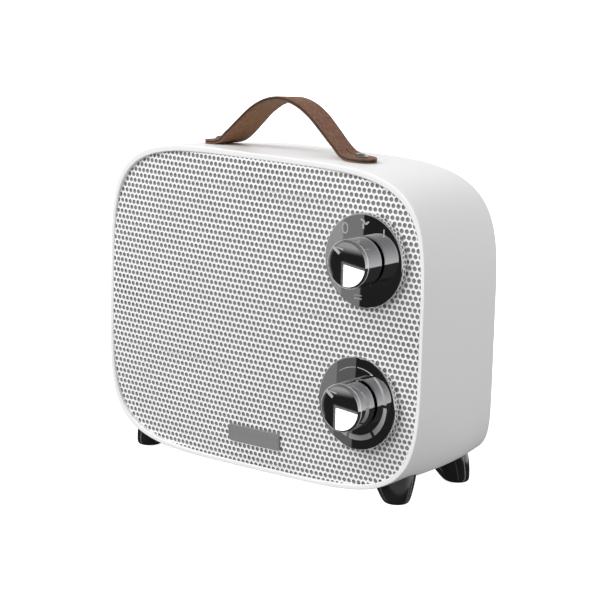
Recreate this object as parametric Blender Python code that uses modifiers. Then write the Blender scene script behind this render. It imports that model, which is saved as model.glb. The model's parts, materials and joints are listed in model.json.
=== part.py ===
"""Retro tabletop ceramic (PTC) space heater: tapered white case, domed perforated front,
two dials on mirror escutcheons, leather strap handle and four splayed feet.

Metres, +Z up, the front faces -Y, the origin is on the standing surface under the middle.
"""
import math

import bmesh
import bpy
from mathutils import Matrix, Vector

MM = 0.001

# Case: a loft from the front rim to the smaller back edge
RIM_Y = -33.2                 # plane of the front rim
CASE_DEPTH = 88.0
RIM_HALF_WIDTH = 124.0
RIM_TOP_Z, RIM_BOTTOM_Z = 203.8, 4.0
BACK_HALF_WIDTH = 118.0
BACK_TOP_Z, BACK_BOTTOM_Z = 198.9, 16.0
RIM_POWER = 4.7               # superellipse exponent of the outline
BACK_POWER_TOP, BACK_POWER_BOTTOM = 4.1, 10.0
TAPER_POWER = 1.8
WALL = 3.0
RIM_WIDTH = 3.15
CASE_POINTS = 52

# Domed grille: y = APEX + CURVE_X x^2 + CURVE_Z (z - DOME_Z)^2
APEX_Y = RIM_Y - 4.6
DOME_Z = 105.4
CURVE_X, CURVE_Z = 0.000317, 0.000532
GRILLE_HALF_WIDTH, GRILLE_HALF_HEIGHT = 120.5, 96.4
GRILLE_CENTRE_Z = 103.9
GRILLE_THICKNESS = 1.0

GAP = 0.3                     # clearance between neighbours

# Dials
DIALS = {"power": (82.9, 149.1), "thermostat": (81.0, 61.9)}
DIAL_SEAT_Y = -35.9           # the dials' common datum plane, square to the depth
ESCUTCHEON_R, ESCUTCHEON_T = 28.5, 2.0
KNOB_R, KNOB_FACE_R, KNOB_LENGTH = 14.8, 13.65, 15.1
KNOB_GROOVE = 1.5
SHAFT_R = 3.0

# Heating and air path
HEATER_X, HEATER_Z = -33.0, 105.0
ELEMENT_W, ELEMENT_H, ELEMENT_T = 100.0, 70.0, 11.0
DUCT_R, DUCT_WALL = 51.1, 1.6
IMPELLER_R, HUB_R, BLADES = 45.0, 15.0, 7

# Strap handle
STRAP_Y = RIM_Y + 28.9
STRAP_WIDTH = 22.0
LAYER = 1.4
STRAP_END_X, STUD_X = 67.3, 55.7

# Feet
FOOT_X = 100.1
FOOT_DEPTHS = {"front": 13.1, "rear": 79.6}
FOOT_SPLAY_X, FOOT_SPLAY_Y = 7.0, 4.5

for leftover in list(bpy.data.objects):
    bpy.data.objects.remove(leftover, do_unlink=True)

parts = bpy.data.collections.new("ceramic_space_heater")
cutters = bpy.data.collections.new("cutters")
for group in (parts, cutters):
    bpy.context.scene.collection.children.link(group)
cutters.hide_render = True


def material(name, colour, roughness, metallic=0.0):
    made = bpy.data.materials.new(name)
    made.use_nodes = True
    shader = made.node_tree.nodes["Principled BSDF"]
    shader.inputs["Base Color"].default_value = (*colour, 1.0)
    shader.inputs["Roughness"].default_value = roughness
    shader.inputs["Metallic"].default_value = metallic
    return made


LOOKS = {
    "white_plastic": ((0.83, 0.83, 0.83), 0.4, 0.0),
    "white_steel": ((0.86, 0.86, 0.86), 0.45, 0.0),
    "black_chrome": ((0.11, 0.11, 0.115), 0.08, 1.0),
    "black_gloss": ((0.012, 0.012, 0.012), 0.15, 0.0),
    "black_plastic": ((0.02, 0.02, 0.02), 0.5, 0.0),
    "grey_badge": ((0.22, 0.22, 0.22), 0.4, 0.0),
    "brown_leather": ((0.17, 0.085, 0.05), 0.7, 0.0),
    "steel": ((0.55, 0.55, 0.55), 0.3, 1.0),
    "brass": ((0.6, 0.42, 0.15), 0.3, 1.0),
    "ceramic_fins": ((0.5, 0.5, 0.48), 0.5, 0.6),
    "mica": ((0.35, 0.28, 0.18), 0.6, 0.0),
}


def finish(name, mesh, look, parent=None):
    """A finished mesh as a named part with a material of its own."""
    part = bpy.data.objects.new(name, mesh)
    part.data.materials.clear()
    part.data.materials.append(material(name, *LOOKS[look]))
    parts.objects.link(part)
    part.data.shade_smooth()
    part.data.set_sharp_from_angle(angle=math.radians(35))
    if parent:
        part.parent = parent
    return part


def as_cutter(part):
    parts.objects.unlink(part)
    cutters.objects.link(part)
    part.hide_render = True
    part.display_type = "WIRE"
    return part


def boolean(part, other, operation="DIFFERENCE"):
    modifier = part.modifiers.new(other.name, "BOOLEAN")
    modifier.operation = operation
    modifier.object = other
    modifier.solver = "EXACT"


def mesh_of(name, bm):
    bmesh.ops.recalc_face_normals(bm, faces=bm.faces)
    mesh = bpy.data.meshes.new(name)
    bm.to_mesh(mesh)
    bm.free()
    return mesh


def box(name, low, high, look, bevel=0.0, parent=None):
    """An axis-aligned block between two corners in millimetres."""
    low, high = Vector(low) * MM, Vector(high) * MM
    bm = bmesh.new()
    bmesh.ops.create_cube(bm, size=1.0)
    bmesh.ops.scale(bm, vec=high - low, verts=bm.verts)
    bmesh.ops.translate(bm, vec=(low + high) / 2, verts=bm.verts)
    part = finish(name, mesh_of(name, bm), look, parent)
    if bevel:
        modifier = part.modifiers.new("edge", "BEVEL")
        modifier.width, modifier.segments = bevel * MM, 2
    return part


def cylinder(name, radius, low, high, look, centre=(0, 0, 0), axis="Z", sides=24, parent=None):
    """A round bar in millimetres, its ends at low and high along the axis from the centre."""
    bm = bmesh.new()
    bmesh.ops.create_cone(bm, cap_ends=True, segments=sides, radius1=radius * MM,
                          radius2=radius * MM, depth=(high - low) * MM)
    bmesh.ops.translate(bm, vec=(0, 0, (low + high) / 2 * MM), verts=bm.verts)
    turn = {"Z": Matrix.Identity(3), "Y": Matrix.Rotation(-math.pi / 2, 3, "X"),
            "X": Matrix.Rotation(math.pi / 2, 3, "Y")}[axis]
    bmesh.ops.rotate(bm, cent=(0, 0, 0), matrix=turn, verts=bm.verts)
    bmesh.ops.translate(bm, vec=Vector(centre) * MM, verts=bm.verts)
    return finish(name, mesh_of(name, bm), look, parent)


def turned(name, profile, look, parent=None, sides=48):
    """A turned piece about local Z: profile is (radius, height) in mm, down its outer side."""
    bm = bmesh.new()
    points = [bm.verts.new((radius * MM, 0, height * MM)) for radius, height in profile]
    closed = profile[0][0] > 0
    for here, there in zip(points, points[1:] + (points[:1] if closed else [])):
        bm.edges.new((here, there))
    mesh = bpy.data.meshes.new(name)
    bm.to_mesh(mesh)
    bm.free()
    part = finish(name, mesh, look, parent)
    screw = part.modifiers.new("turn", "SCREW")
    screw.steps = screw.render_steps = sides
    screw.use_merge_vertices = True
    screw.merge_threshold = 0.00001
    screw.use_smooth_shade = True
    return part


def loft(name, rings, look, closed_loop=False, parent=None):
    """Skin over equal rings of points in mm; a closed loop joins the last ring to the first."""
    bm = bmesh.new()
    rows = [[bm.verts.new(Vector(point) * MM) for point in ring] for ring in rings]
    pairs = list(zip(rows, rows[1:] + (rows[:1] if closed_loop else [])))
    if not closed_loop:
        pairs = pairs[:len(rows) - 1]
        bm.faces.new(rows[0])
        bm.faces.new(rows[-1][::-1])
    for one, two in pairs:
        for k in range(len(one)):
            m = (k + 1) % len(one)
            bm.faces.new((one[k], one[m], two[m], two[k]))
    return finish(name, mesh_of(name, bm), look, parent)


def outline(half_width, top, bottom, power_top, power_bottom, count):
    """Closed superellipse in the XZ plane, with a power of its own above and below the middle."""
    middle, half_height = (top + bottom) / 2, (top - bottom) / 2
    points = []
    for k in range(count):
        angle = 2 * math.pi * (k + 0.5) / count
        c, s = math.cos(angle), math.sin(angle)
        power = power_top if s > 0 else power_bottom
        points.append((half_width * math.copysign(abs(c) ** (2 / power), c),
                       middle + half_height * math.copysign(abs(s) ** (2 / power), s)))
    return points


def case_section(depth, inset=0.0, count=CASE_POINTS):
    """Outline of the case at a depth behind the rim, drawn in by inset."""
    t = min(max(depth / CASE_DEPTH, 0.0), 1.0) ** TAPER_POWER

    def between(front, back):
        return front + (back - front) * t

    flat = outline(between(RIM_HALF_WIDTH, BACK_HALF_WIDTH) - inset,
                   between(RIM_TOP_Z, BACK_TOP_Z) - inset,
                   between(RIM_BOTTOM_Z, BACK_BOTTOM_Z) + inset,
                   between(RIM_POWER, BACK_POWER_TOP), between(RIM_POWER, BACK_POWER_BOTTOM), count)
    return [(x, RIM_Y + depth, z) for x, z in flat]


def case_top(x, depth, inset=0.0):
    """Height of the case's top surface at x and depth."""
    t = min(max(depth / CASE_DEPTH, 0.0), 1.0) ** TAPER_POWER
    half = RIM_HALF_WIDTH + (BACK_HALF_WIDTH - RIM_HALF_WIDTH) * t - inset
    top = RIM_TOP_Z + (BACK_TOP_Z - RIM_TOP_Z) * t - inset
    bottom = RIM_BOTTOM_Z + (BACK_BOTTOM_Z - RIM_BOTTOM_Z) * t + inset
    power = RIM_POWER + (BACK_POWER_TOP - RIM_POWER) * t
    rise = (1 - abs(x / half) ** power) ** (1 / power)
    return (top + bottom) / 2 + (top - bottom) / 2 * rise


def dome_y(x, z):
    return APEX_Y + CURVE_X * x * x + CURVE_Z * (z - DOME_Z) ** 2


def dome_ring(scale, behind, count=CASE_POINTS, flat_y=None):
    """Ring of the grille's outline scaled about its middle, on the dome or on a flat plane."""
    flat = outline(GRILLE_HALF_WIDTH * scale, GRILLE_CENTRE_Z + GRILLE_HALF_HEIGHT * scale,
                   GRILLE_CENTRE_Z - GRILLE_HALF_HEIGHT * scale, RIM_POWER, RIM_POWER, count)
    return [(x, dome_y(x, z) + behind if flat_y is None else flat_y, z) for x, z in flat]


# ---- case shell ----------------------------------------------------------------------------
case_profile = [(0.0, 0.6), (0.5, 0.0), (22, 0), (44, 0), (66, 0), (86.4, 0.0),
                (87.6, 0.5), (88.0, 1.5), (88.0, 3.0), (83.4, 3.0), (83.4, 5.5), (81.0, 5.5),
                (79.0, WALL), (55, WALL), (30, WALL), (3, RIM_WIDTH), (0.0, RIM_WIDTH)]
case = loft("case_shell", [case_section(*at) for at in case_profile], "white_plastic",
            closed_loop=True)

POST_X, POST_ZS = 109.6, {"lower": 62.0, "upper": 152.0}
for side, sign in (("left", -1), ("right", 1)):
    for level, z in POST_ZS.items():
        post = cylinder(f"cut_post_{level}_{side}", 6.0, 62.0, 83.0, "white_plastic",
                        (sign * POST_X, RIM_Y, z), "Y", 20)
        boolean(case, as_cutter(post), "UNION")
        bore = cylinder(f"cut_post_bore_{level}_{side}", 1.7, 70.0, 86.0, "white_plastic",
                        (sign * POST_X, RIM_Y, z), "Y", 12)
        boolean(case, as_cutter(bore))

# Bosses over each foot take the screws that hold the feet
FOOT_SCREW_X = FOOT_X - 6.5
foot_screw_depths = {"front": FOOT_DEPTHS["front"] + 3.5, "rear": FOOT_DEPTHS["rear"] - 3.5}
boss_tops = {"front": 22.0, "rear": 27.0}
for side, sign in (("left", -1), ("right", 1)):
    for end, depth in foot_screw_depths.items():
        at = (sign * FOOT_SCREW_X, RIM_Y + depth, 0)
        floor = {"front": 12.9, "rear": 18.5}[end]
        boss = cylinder(f"cut_boss_{end}_{side}", 5.0, floor, boss_tops[end], "white_plastic", at)
        boolean(case, as_cutter(boss), "UNION")
        hole = cylinder(f"cut_boss_hole_{end}_{side}", 2.1, 2.0, 40.0, "white_plastic", at,
                        sides=12)
        boolean(case, as_cutter(hole))
for side, sign in (("left", -1), ("right", 1)):
    hole = cylinder(f"cut_stud_hole_{side}", 2.4, 190, 210, "white_plastic",
                    (sign * STUD_X, STRAP_Y, 0), sides=16)
    boolean(case, as_cutter(hole))

# ---- front grille, its frame and the badge -----------------------------------------------------
scales = (1.0, 0.8, 0.52, 0.24)
grille = loft("front_grille",
              [dome_ring(s, 0.0) for s in reversed(scales)]
              + [dome_ring(s, GRILLE_THICKNESS) for s in scales], "white_steel")
frame_back = RIM_Y + 9.5
loft("grille_frame", [dome_ring(0.99, GRILLE_THICKNESS + GAP), dome_ring(0.915, GRILLE_THICKNESS + GAP),
                      dome_ring(0.915, 0, flat_y=frame_back), dome_ring(0.99, 0, flat_y=frame_back)],
     "white_plastic", closed_loop=True)

BADGE_Z, BADGE_W, BADGE_H = 25.9, 40.5, 10.8
badge_mount = bpy.data.objects.new("badge_mount", None)
parts.objects.link(badge_mount)
badge_mount.location = Vector((0.5, dome_y(0.5, BADGE_Z), BADGE_Z)) * MM
badge_tilt = math.atan(2 * CURVE_Z * (DOME_Z - BADGE_Z))
badge_mount.rotation_euler = (badge_tilt, 0, 0)
badge = box("badge_plate", (-BADGE_W / 2, -GAP - 1.1, -BADGE_H / 2),
            (BADGE_W / 2, -GAP, BADGE_H / 2), "grey_badge", parent=badge_mount)

# ---- dials: each turns about an axis square to the front; its plate is scribed to the dome ---------
dial_frames = {}
for dial, (x, z) in DIALS.items():
    empty = bpy.data.objects.new(f"{dial}_axis", None)
    parts.objects.link(empty)
    empty.location = Vector((x, DIAL_SEAT_Y, z)) * MM
    empty.rotation_euler = (math.pi / 2, 0, 0)
    dial_frames[dial] = empty
bpy.context.view_layer.update()

knob_base = GAP + ESCUTCHEON_T + KNOB_GROOVE
knob_top = knob_base + KNOB_LENGTH
dome_body = as_cutter(loft("cut_dome", [dome_ring(s, -GAP) for s in reversed(scales)]
                           + [dome_ring(s, 20) for s in scales], "white_steel"))
for dial, empty in dial_frames.items():
    plate = turned(f"{dial}_escutcheon",
                   [(ESCUTCHEON_R - 0.7, GAP + ESCUTCHEON_T), (ESCUTCHEON_R, GAP + ESCUTCHEON_T - 0.6),
                    (ESCUTCHEON_R, -6.0), (6.0, -6.0), (6.0, GAP + ESCUTCHEON_T)], "black_chrome",
                   empty, 36)
    boolean(plate, dome_body)
    turned(f"{dial}_knob",
           [(0, knob_top), (KNOB_FACE_R, knob_top), (KNOB_R, knob_top - 1.3), (KNOB_R, knob_base),
            (KNOB_R - 1.2, knob_base), (KNOB_R - 2.2, knob_base + 1.0), (SHAFT_R + GAP, knob_base + 1.0),
            (SHAFT_R + GAP, knob_top - 4.0), (0, knob_top - 4.0)], "black_chrome", empty, 28)
    grille_hole = cylinder(f"cut_grille_{dial}", 5.6, -12, 12, "white_steel", parent=empty)
    boolean(grille, as_cutter(grille_hole))

WEB_FRONT, WEB_BACK = 17.9, 19.4
BODY_FRONT = -23.2
bodies = {"power": ("rotary_switch", 16.0, 16.0, 15.0), "thermostat": ("thermostat_body", 17.0, 14.0, 14.0)}
for dial, (name, half_w, half_h, length) in bodies.items():
    empty = dial_frames[dial]
    body = box(name, (-half_w, -half_h, BODY_FRONT - length), (half_w, half_h, BODY_FRONT),
               "black_plastic", parent=empty)
    bush = cylinder(f"cut_bush_{dial}", 4.7, BODY_FRONT - 1, -15.5, "steel", sides=24, parent=empty)
    boolean(body, as_cutter(bush), "UNION")
    bore = cylinder(f"cut_bore_{dial}", SHAFT_R + GAP, BODY_FRONT - 7, 0, "steel", parent=empty)
    boolean(body, as_cutter(bore))
    cylinder(f"{dial}_shaft", SHAFT_R, BODY_FRONT - 6.6, knob_top - 4.4, "steel", parent=empty)
    nut = cylinder(f"{dial}_nut", 7.2, -18.6, -16.4, "steel", sides=6, parent=empty)
    nut_bore = cylinder(f"cut_nut_{dial}", 5.0, -20, -15, "steel", sides=24, parent=empty)
    boolean(nut, as_cutter(nut_bore))
    for k in range(3):
        tab = box(f"cut_tab_{dial}_{k}", (-9 + 7 * k, -half_h - 6, BODY_FRONT - 9),
                  (-6 + 7 * k, -half_h + 1, BODY_FRONT - 8.2), "brass", parent=empty)
        boolean(body, as_cutter(tab), "UNION")

BULKHEAD_FRONT, BULKHEAD_BACK = 39.0, 41.0
bracket = box("control_bracket", (56, RIM_Y + WEB_FRONT, 30), (106, RIM_Y + WEB_BACK, 181), "steel")
for k, (low, high) in enumerate(((30, 31.5), (179.5, 181))):
    leg = box(f"cut_leg_{k}", (56, RIM_Y + WEB_FRONT + 0.2, low),
              (106, RIM_Y + BULKHEAD_FRONT - GAP, high), "steel")
    boolean(bracket, as_cutter(leg), "UNION")
for dial, empty in dial_frames.items():
    hole = cylinder(f"cut_web_{dial}", 5.9, -24, -15, "steel", parent=empty)
    boolean(bracket, as_cutter(hole))

# ---- bulkhead, heating element and its frame ------------------------------------------------------
bulkhead = loft("bulkhead", [case_section(BULKHEAD_FRONT, WALL + 0.5), case_section(BULKHEAD_BACK, WALL + 0.5)],
                "steel")
FRAME_W, FRAME_H = ELEMENT_W + 20, ELEMENT_H + 20


def heater_box(name, width, height, front, back, look, bevel=0.0):
    """A block centred on the air path, between two depths."""
    return box(name, (HEATER_X - width / 2, RIM_Y + front, HEATER_Z - height / 2),
               (HEATER_X + width / 2, RIM_Y + back, HEATER_Z + height / 2), look, bevel)


window = as_cutter(heater_box("cut_window", ELEMENT_W + 2, ELEMENT_H + 2, 30, 50, "steel"))
boolean(bulkhead, window)
wire_hole = cylinder("cut_wire_hole", 8.0, 30, 50, "steel", (46, RIM_Y, 105), "Y")
boolean(bulkhead, as_cutter(wire_hole))
ptc_frame = heater_box("ptc_frame", FRAME_W, FRAME_H, 24.4, BULKHEAD_FRONT - GAP, "mica", 1.0)
boolean(ptc_frame, as_cutter(heater_box("cut_frame", ELEMENT_W + 2 * GAP, ELEMENT_H + 2 * GAP, 20, 50,
                                        "mica")))
element = heater_box("ptc_element", ELEMENT_W, ELEMENT_H, 26.0, 26.0 + ELEMENT_T, "ceramic_fins")
slots = bmesh.new()
FIN_ROWS, FIN_COLUMNS = 3, 11
for row in range(FIN_ROWS):
    for column in range(FIN_COLUMNS):
        across = (column - (FIN_COLUMNS - 1) / 2) * 8.8
        up = (row - (FIN_ROWS - 1) / 2) * 22.0
        bmesh.ops.create_cube(slots, size=1.0, matrix=Matrix.LocRotScale(
            Vector((HEATER_X + across, RIM_Y + 30, HEATER_Z + up)) * MM,
            None, Vector((6.2, 40, 16.0)) * MM))
fin_slots = finish("cut_fin_slots", mesh_of("cut_fin_slots", slots), "ceramic_fins")
boolean(element, as_cutter(fin_slots))
cylinder("thermal_cutout", 8.0, 0, 6.5, "steel",
         (HEATER_X + 24, RIM_Y + 30.0, HEATER_Z + FRAME_H / 2 + GAP), sides=20)
cylinder("thermal_fuse", 2.6, -8, 8, "brass",
         (HEATER_X - 18, RIM_Y + 31.5, HEATER_Z + FRAME_H / 2 + GAP + 2.6), "X", 16)

# ---- air duct, fan and motor ---------------------------------------------------------------------


def duct_ring(half_width, half_height, power, depth):
    flat = outline(half_width, HEATER_Z + half_height, HEATER_Z - half_height, power, power, 36)
    return [(HEATER_X + x, RIM_Y + depth, z) for x, z in flat]


duct_start, duct_end = BULKHEAD_BACK + GAP, 71.0
inner_r = DUCT_R - DUCT_WALL
loft("air_duct", [
    duct_ring(60, 45, 12, duct_start), duct_ring(60, 45, 12, duct_start + 2),
    duct_ring(54, 39, 12, duct_start + 2), duct_ring(DUCT_R, DUCT_R, 2, 56),
    duct_ring(DUCT_R, DUCT_R, 2, duct_end), duct_ring(inner_r, inner_r, 2, duct_end),
    duct_ring(inner_r, inner_r, 2, 56), duct_ring(52.4, 37.4, 12, duct_start + 2),
    duct_ring(52.4, 37.4, 12, duct_start)], "black_plastic", closed_loop=True)

fan_axis = bpy.data.objects.new("fan_axis", None)
parts.objects.link(fan_axis)
fan_axis.location = Vector((HEATER_X, RIM_Y, HEATER_Z)) * MM
fan_axis.rotation_euler = (-math.pi / 2, 0, 0)
bpy.context.view_layer.update()

FAN_FRONT, FAN_BACK = 52.5, 67.5
impeller = turned("fan_impeller", [(1.8, FAN_BACK), (HUB_R, FAN_BACK), (HUB_R, FAN_FRONT + 2),
                                   (HUB_R - 2, FAN_FRONT), (1.8, FAN_FRONT)], "black_plastic",
                  fan_axis, 24)
blades = bmesh.new()
for k in range(BLADES):
    spin = Matrix.Rotation(2 * math.pi * k / BLADES, 3, "Z")
    sections = []
    for radius, pitch, chord in ((HUB_R - 2, 50, 15), (25, 42, 19), (35, 34, 23), (IMPELLER_R, 28, 26)):
        slope = math.radians(pitch)
        along = Vector((0, math.cos(slope), math.sin(slope)))
        across = Vector((0, -math.sin(slope), math.cos(slope)))
        middle = Vector((radius, 0, (FAN_FRONT + FAN_BACK) / 2))
        corners = [(-0.5, -0.7), (0.5, -0.7), (0.5, 0.7), (-0.5, 0.7)]
        sections.append([blades.verts.new(spin @ (middle + along * chord * a + across * b) * MM)
                         for a, b in corners])
    blades.faces.new(sections[0])
    blades.faces.new(sections[-1][::-1])
    for one, two in zip(sections, sections[1:]):
        for m in range(4):
            n = (m + 1) % 4
            blades.faces.new((one[m], one[n], two[n], two[m]))
blade_ring = finish("cut_blades", mesh_of("cut_blades", blades), "black_plastic", fan_axis)
boolean(impeller, as_cutter(blade_ring), "UNION")

MOTOR_FRONT, MOTOR_BACK, MOTOR_R = 70.5, 82.0, 17.0
turned("fan_motor", [(0, MOTOR_BACK), (MOTOR_R - 1, MOTOR_BACK), (MOTOR_R, MOTOR_BACK - 1),
                     (MOTOR_R, MOTOR_FRONT + 1), (MOTOR_R - 1, MOTOR_FRONT), (1.8, MOTOR_FRONT),
                     (1.8, MOTOR_BACK - 6), (0, MOTOR_BACK - 6)], "steel", fan_axis, 24)
cylinder("motor_shaft", 1.5, FAN_FRONT - 1.5, MOTOR_BACK - 6.4, "steel", sides=16, parent=fan_axis)
mount_outer = DUCT_R + GAP + 2.6
motor_mount = turned("motor_mount", [(mount_outer, 78), (mount_outer, 66), (DUCT_R + GAP, 66),
                                     (DUCT_R + GAP, 78)], "black_plastic", fan_axis, 36)
for k in range(3):
    arm = box(f"cut_arm_{k}", (MOTOR_R + 1.5, -4, 74), (DUCT_R + 1.5, 4, 78), "black_plastic",
              parent=fan_axis)
    arm.rotation_euler = (0, 0, math.radians(90 + 120 * k))
    boolean(motor_mount, as_cutter(arm), "UNION")
collar = turned("cut_collar", [(MOTOR_R + 3, 78), (MOTOR_R + 3, 74), (MOTOR_R + GAP, 74),
                               (MOTOR_R + GAP, 78)], "black_plastic", fan_axis, 24)
boolean(motor_mount, as_cutter(collar), "UNION")

# ---- switches and terminals inside -----------------------------------------------------------------
box("tip_over_switch", (22, RIM_Y + 50, 15.5), (44, RIM_Y + 66, 41), "black_plastic", 0.8)
block = box("terminal_block", (50, RIM_Y + 41.3, 40), (96, RIM_Y + 55, 56), "white_plastic", 0.8)
for k in range(4):
    way = cylinder(f"cut_way_{k}", 2.4, 50, 60, "brass", (57.5 + 10.3 * k, RIM_Y, 48), "Y", 12)
    boolean(block, as_cutter(way))

# ---- rear cover ------------------------------------------------------------------------------------
COVER_FRONT, COVER_BACK = 83.7, 86.7
cover = loft("rear_cover", [case_section(COVER_FRONT, 3.35), case_section(COVER_BACK, 3.35)],
             "white_plastic")
SLOT_ROWS, SLOT_PITCH, SLOT_HEIGHT, SLOT_REACH = 11, 8.0, 3.6, 49.0
louvres = bmesh.new()
for row in range(SLOT_ROWS):
    dz = (row - (SLOT_ROWS - 1) / 2) * SLOT_PITCH
    reach = math.sqrt(SLOT_REACH ** 2 - dz ** 2)
    for sign in (-1, 1):
        middle = sign * (reach + 2.0) / 2
        bmesh.ops.create_cube(louvres, size=1.0, matrix=Matrix.LocRotScale(
            Vector((HEATER_X + middle, RIM_Y + 85, HEATER_Z + dz)) * MM, None,
            Vector((reach - 2.0, 12, SLOT_HEIGHT)) * MM))
intake = finish("cut_intake", mesh_of("cut_intake", louvres), "white_plastic")
boolean(cover, as_cutter(intake))
GLAND_X, GLAND_Z = 78.0, 34.0
gland_hole = cylinder("cut_gland", 6.3, 80, 90, "black_plastic", (GLAND_X, RIM_Y, GLAND_Z), "Y")
boolean(cover, as_cutter(gland_hole))
gland_axis = bpy.data.objects.new("gland_axis", None)
parts.objects.link(gland_axis)
gland_axis.location = Vector((GLAND_X, RIM_Y, GLAND_Z)) * MM
gland_axis.rotation_euler = (-math.pi / 2, 0, 0)
turned("cord_gland", [(6.6, 87.9), (8.2, 87.0), (6.0, 87.0), (6.0, 79.0), (3.6, 79.0),
                      (3.6, 87.9)], "black_plastic", gland_axis, 24)
for side, sign in (("left", -1), ("right", 1)):
    for level, z in POST_ZS.items():
        at = (sign * POST_X, RIM_Y, z)
        hole = cylinder(f"cut_cover_hole_{level}_{side}", 1.9, 80, 90, "steel", at, "Y", 12)
        boolean(cover, as_cutter(hole))
        screw = cylinder(f"cover_screw_{level}_{side}", 1.4, 74, 87.5, "steel", at, "Y", 8)
        head = cylinder(f"cut_head_{level}_{side}", 3.2, 87.0, 87.9, "steel", at, "Y", 12)
        boolean(screw, as_cutter(head), "UNION")

# ---- strap handle: two leather layers, held by a stud at each end -------------------------------------
strap_depth = STRAP_Y - RIM_Y
slope = (case_top(0, strap_depth + 10) - case_top(0, strap_depth - 10)) / 20


def tab_height(x):
    """Middle of the strap's thickness where it lies on the case."""
    return case_top(x, strap_depth) + GAP + 0.12 + LAYER + GAP / 2


ARCH = ((0, 235.35), (11, 233.0), (21, 227.0), (30, 218.6), (37.5, 211.2), (43.5, 206.6))


def strap_height(x):
    """Height of the strap's middle at x: a smooth curve through the arch, then the tab."""
    x = abs(x)
    knots = [(-ARCH[1][0], ARCH[1][1])] + list(ARCH) + [(49.0, tab_height(49.0) + 0.6),
                                                        (53.5, tab_height(53.5)), (58, tab_height(58))]
    if x >= 53.5:
        return tab_height(x)
    k = max(i for i in range(1, len(knots) - 2) if knots[i][0] <= x + 1e-9)
    (x0, z0), (x1, z1), (x2, z2), (x3, z3) = knots[k - 1:k + 3]
    u = (x - x1) / (x2 - x1)
    m1 = (z2 - z0) / (x2 - x0) * (x2 - x1)
    m2 = (z3 - z1) / (x3 - x1) * (x2 - x1)
    return ((2 * u ** 3 - 3 * u ** 2 + 1) * z1 + (u ** 3 - 2 * u ** 2 + u) * m1
            + (3 * u ** 2 - 2 * u ** 3) * z2 + (u ** 3 - u ** 2) * m2)


def strap_layer(name, low, high):
    """One leather layer between two offsets from the strap's middle, with rounded ends."""
    corner, stations = 6.0, []
    for d in (0.0, 0.35, 1.2, 2.6, 4.4, 6.0):
        stations.append(STRAP_END_X - d)
    stations += [STRAP_END_X - 6.0 - (STRAP_END_X - 6.0) * k / 13 for k in range(1, 14)]
    stations = stations + [-x for x in stations[-2::-1]]
    rings = []
    for x in stations:
        step = 0.5
        run = Vector((2 * step, strap_height(x + step) - strap_height(x - step)))
        normal = Vector((-run.y, run.x)).normalized()
        inward = corner - min(corner, STRAP_END_X - abs(x))
        half = STRAP_WIDTH / 2 - (corner - math.sqrt(max(corner ** 2 - inward ** 2, 0)))
        ring = []
        for side, offset in ((-1, low), (1, low), (1, high), (-1, high)):
            ring.append((x + normal.x * offset, STRAP_Y + side * half,
                         strap_height(x) + normal.y * offset + slope * side * half))
        rings.append(ring)
    return loft(name, rings, "brown_leather")


outer_layer = strap_layer("strap_outer", GAP / 2, GAP / 2 + LAYER)
lining = strap_layer("strap_lining", -GAP / 2 - LAYER, -GAP / 2)
for side, sign in (("left", -1), ("right", 1)):
    stud_hole = cylinder(f"cut_strap_hole_{side}", 2.3, 190, 215, "steel",
                         (sign * STUD_X, STRAP_Y, 0), sides=16)
    slit = box(f"cut_slit_{side}", (min(sign * (STUD_X - 11), sign * STUD_X), STRAP_Y - 0.4, 190),
               (max(sign * (STUD_X - 11), sign * STUD_X), STRAP_Y + 0.4, 215), "steel")
    for cutter in (stud_hole, slit):
        as_cutter(cutter)
        for layer in (outer_layer, lining):
            boolean(layer, cutter)
    stud_axis = bpy.data.objects.new(f"stud_axis_{side}", None)
    parts.objects.link(stud_axis)
    stud_axis.location = (sign * STUD_X * MM, STRAP_Y * MM, 0)
    seat = tab_height(STUD_X) + GAP / 2 + LAYER + 0.55
    turned(f"strap_stud_{side}",
           [(0, seat + 2.6), (1.6, seat + 2.5), (3.0, seat + 1.9), (4.0, seat + 0.9), (4.2, seat),
            (2.0, seat), (2.0, 184.0), (0, 184.0)], "steel", stud_axis, 20)
    under = case_top(STUD_X + 6, strap_depth, WALL) - 1.6
    turned(f"stud_nut_{side}", [(5.0, under), (5.0, under - 3.0), (2.3, under - 3.0), (2.3, under)],
           "brass", stud_axis, 16)

# ---- feet: splayed cones shaped to the case's underside -------------------------------------------------
envelope = loft("cut_envelope", [case_section(depth, -GAP) for depth in (-6, 0, 18, 36, 54, 72, 88, 95)],
                "white_plastic")
as_cutter(envelope)
FOOT_PROFILE = ((0.0, 5.8), (0.5, 6.8), (1.6, 7.5), (3.2, 7.9), (9.0, 9.9), (15.0, 11.8), (22.0, 13.6),
                (30.0, 15.0))
for side, sign in (("left", -1), ("right", 1)):
    for end, depth in FOOT_DEPTHS.items():
        toward = 1 if end == "front" else -1
        rings = []
        for height, radius in FOOT_PROFILE:
            lean = height / 20
            cx = sign * (FOOT_X - FOOT_SPLAY_X * lean)
            cy = RIM_Y + depth + toward * FOOT_SPLAY_Y * lean
            rings.append([(cx + radius * math.cos(2 * math.pi * k / 20),
                           cy + radius * math.sin(2 * math.pi * k / 20), height) for k in range(20)])
        foot = loft(f"foot_{end}_{side}", rings, "black_gloss")
        boolean(foot, envelope)
        at = (sign * FOOT_SCREW_X, RIM_Y + foot_screw_depths[end], 0)
        bore = cylinder(f"cut_foot_bore_{end}_{side}", 1.8, 4.0, 40, "black_gloss", at, sides=12)
        boolean(foot, as_cutter(bore))
        top = boss_tops[end] + GAP
        screw = cylinder(f"foot_screw_{end}_{side}", 1.5, 5.0, top + 0.5, "steel", at, sides=8)
        head = cylinder(f"cut_foot_head_{end}_{side}", 3.4, top, top + 2.2, "steel", at, sides=12)
        boolean(screw, as_cutter(head), "UNION")
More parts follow.
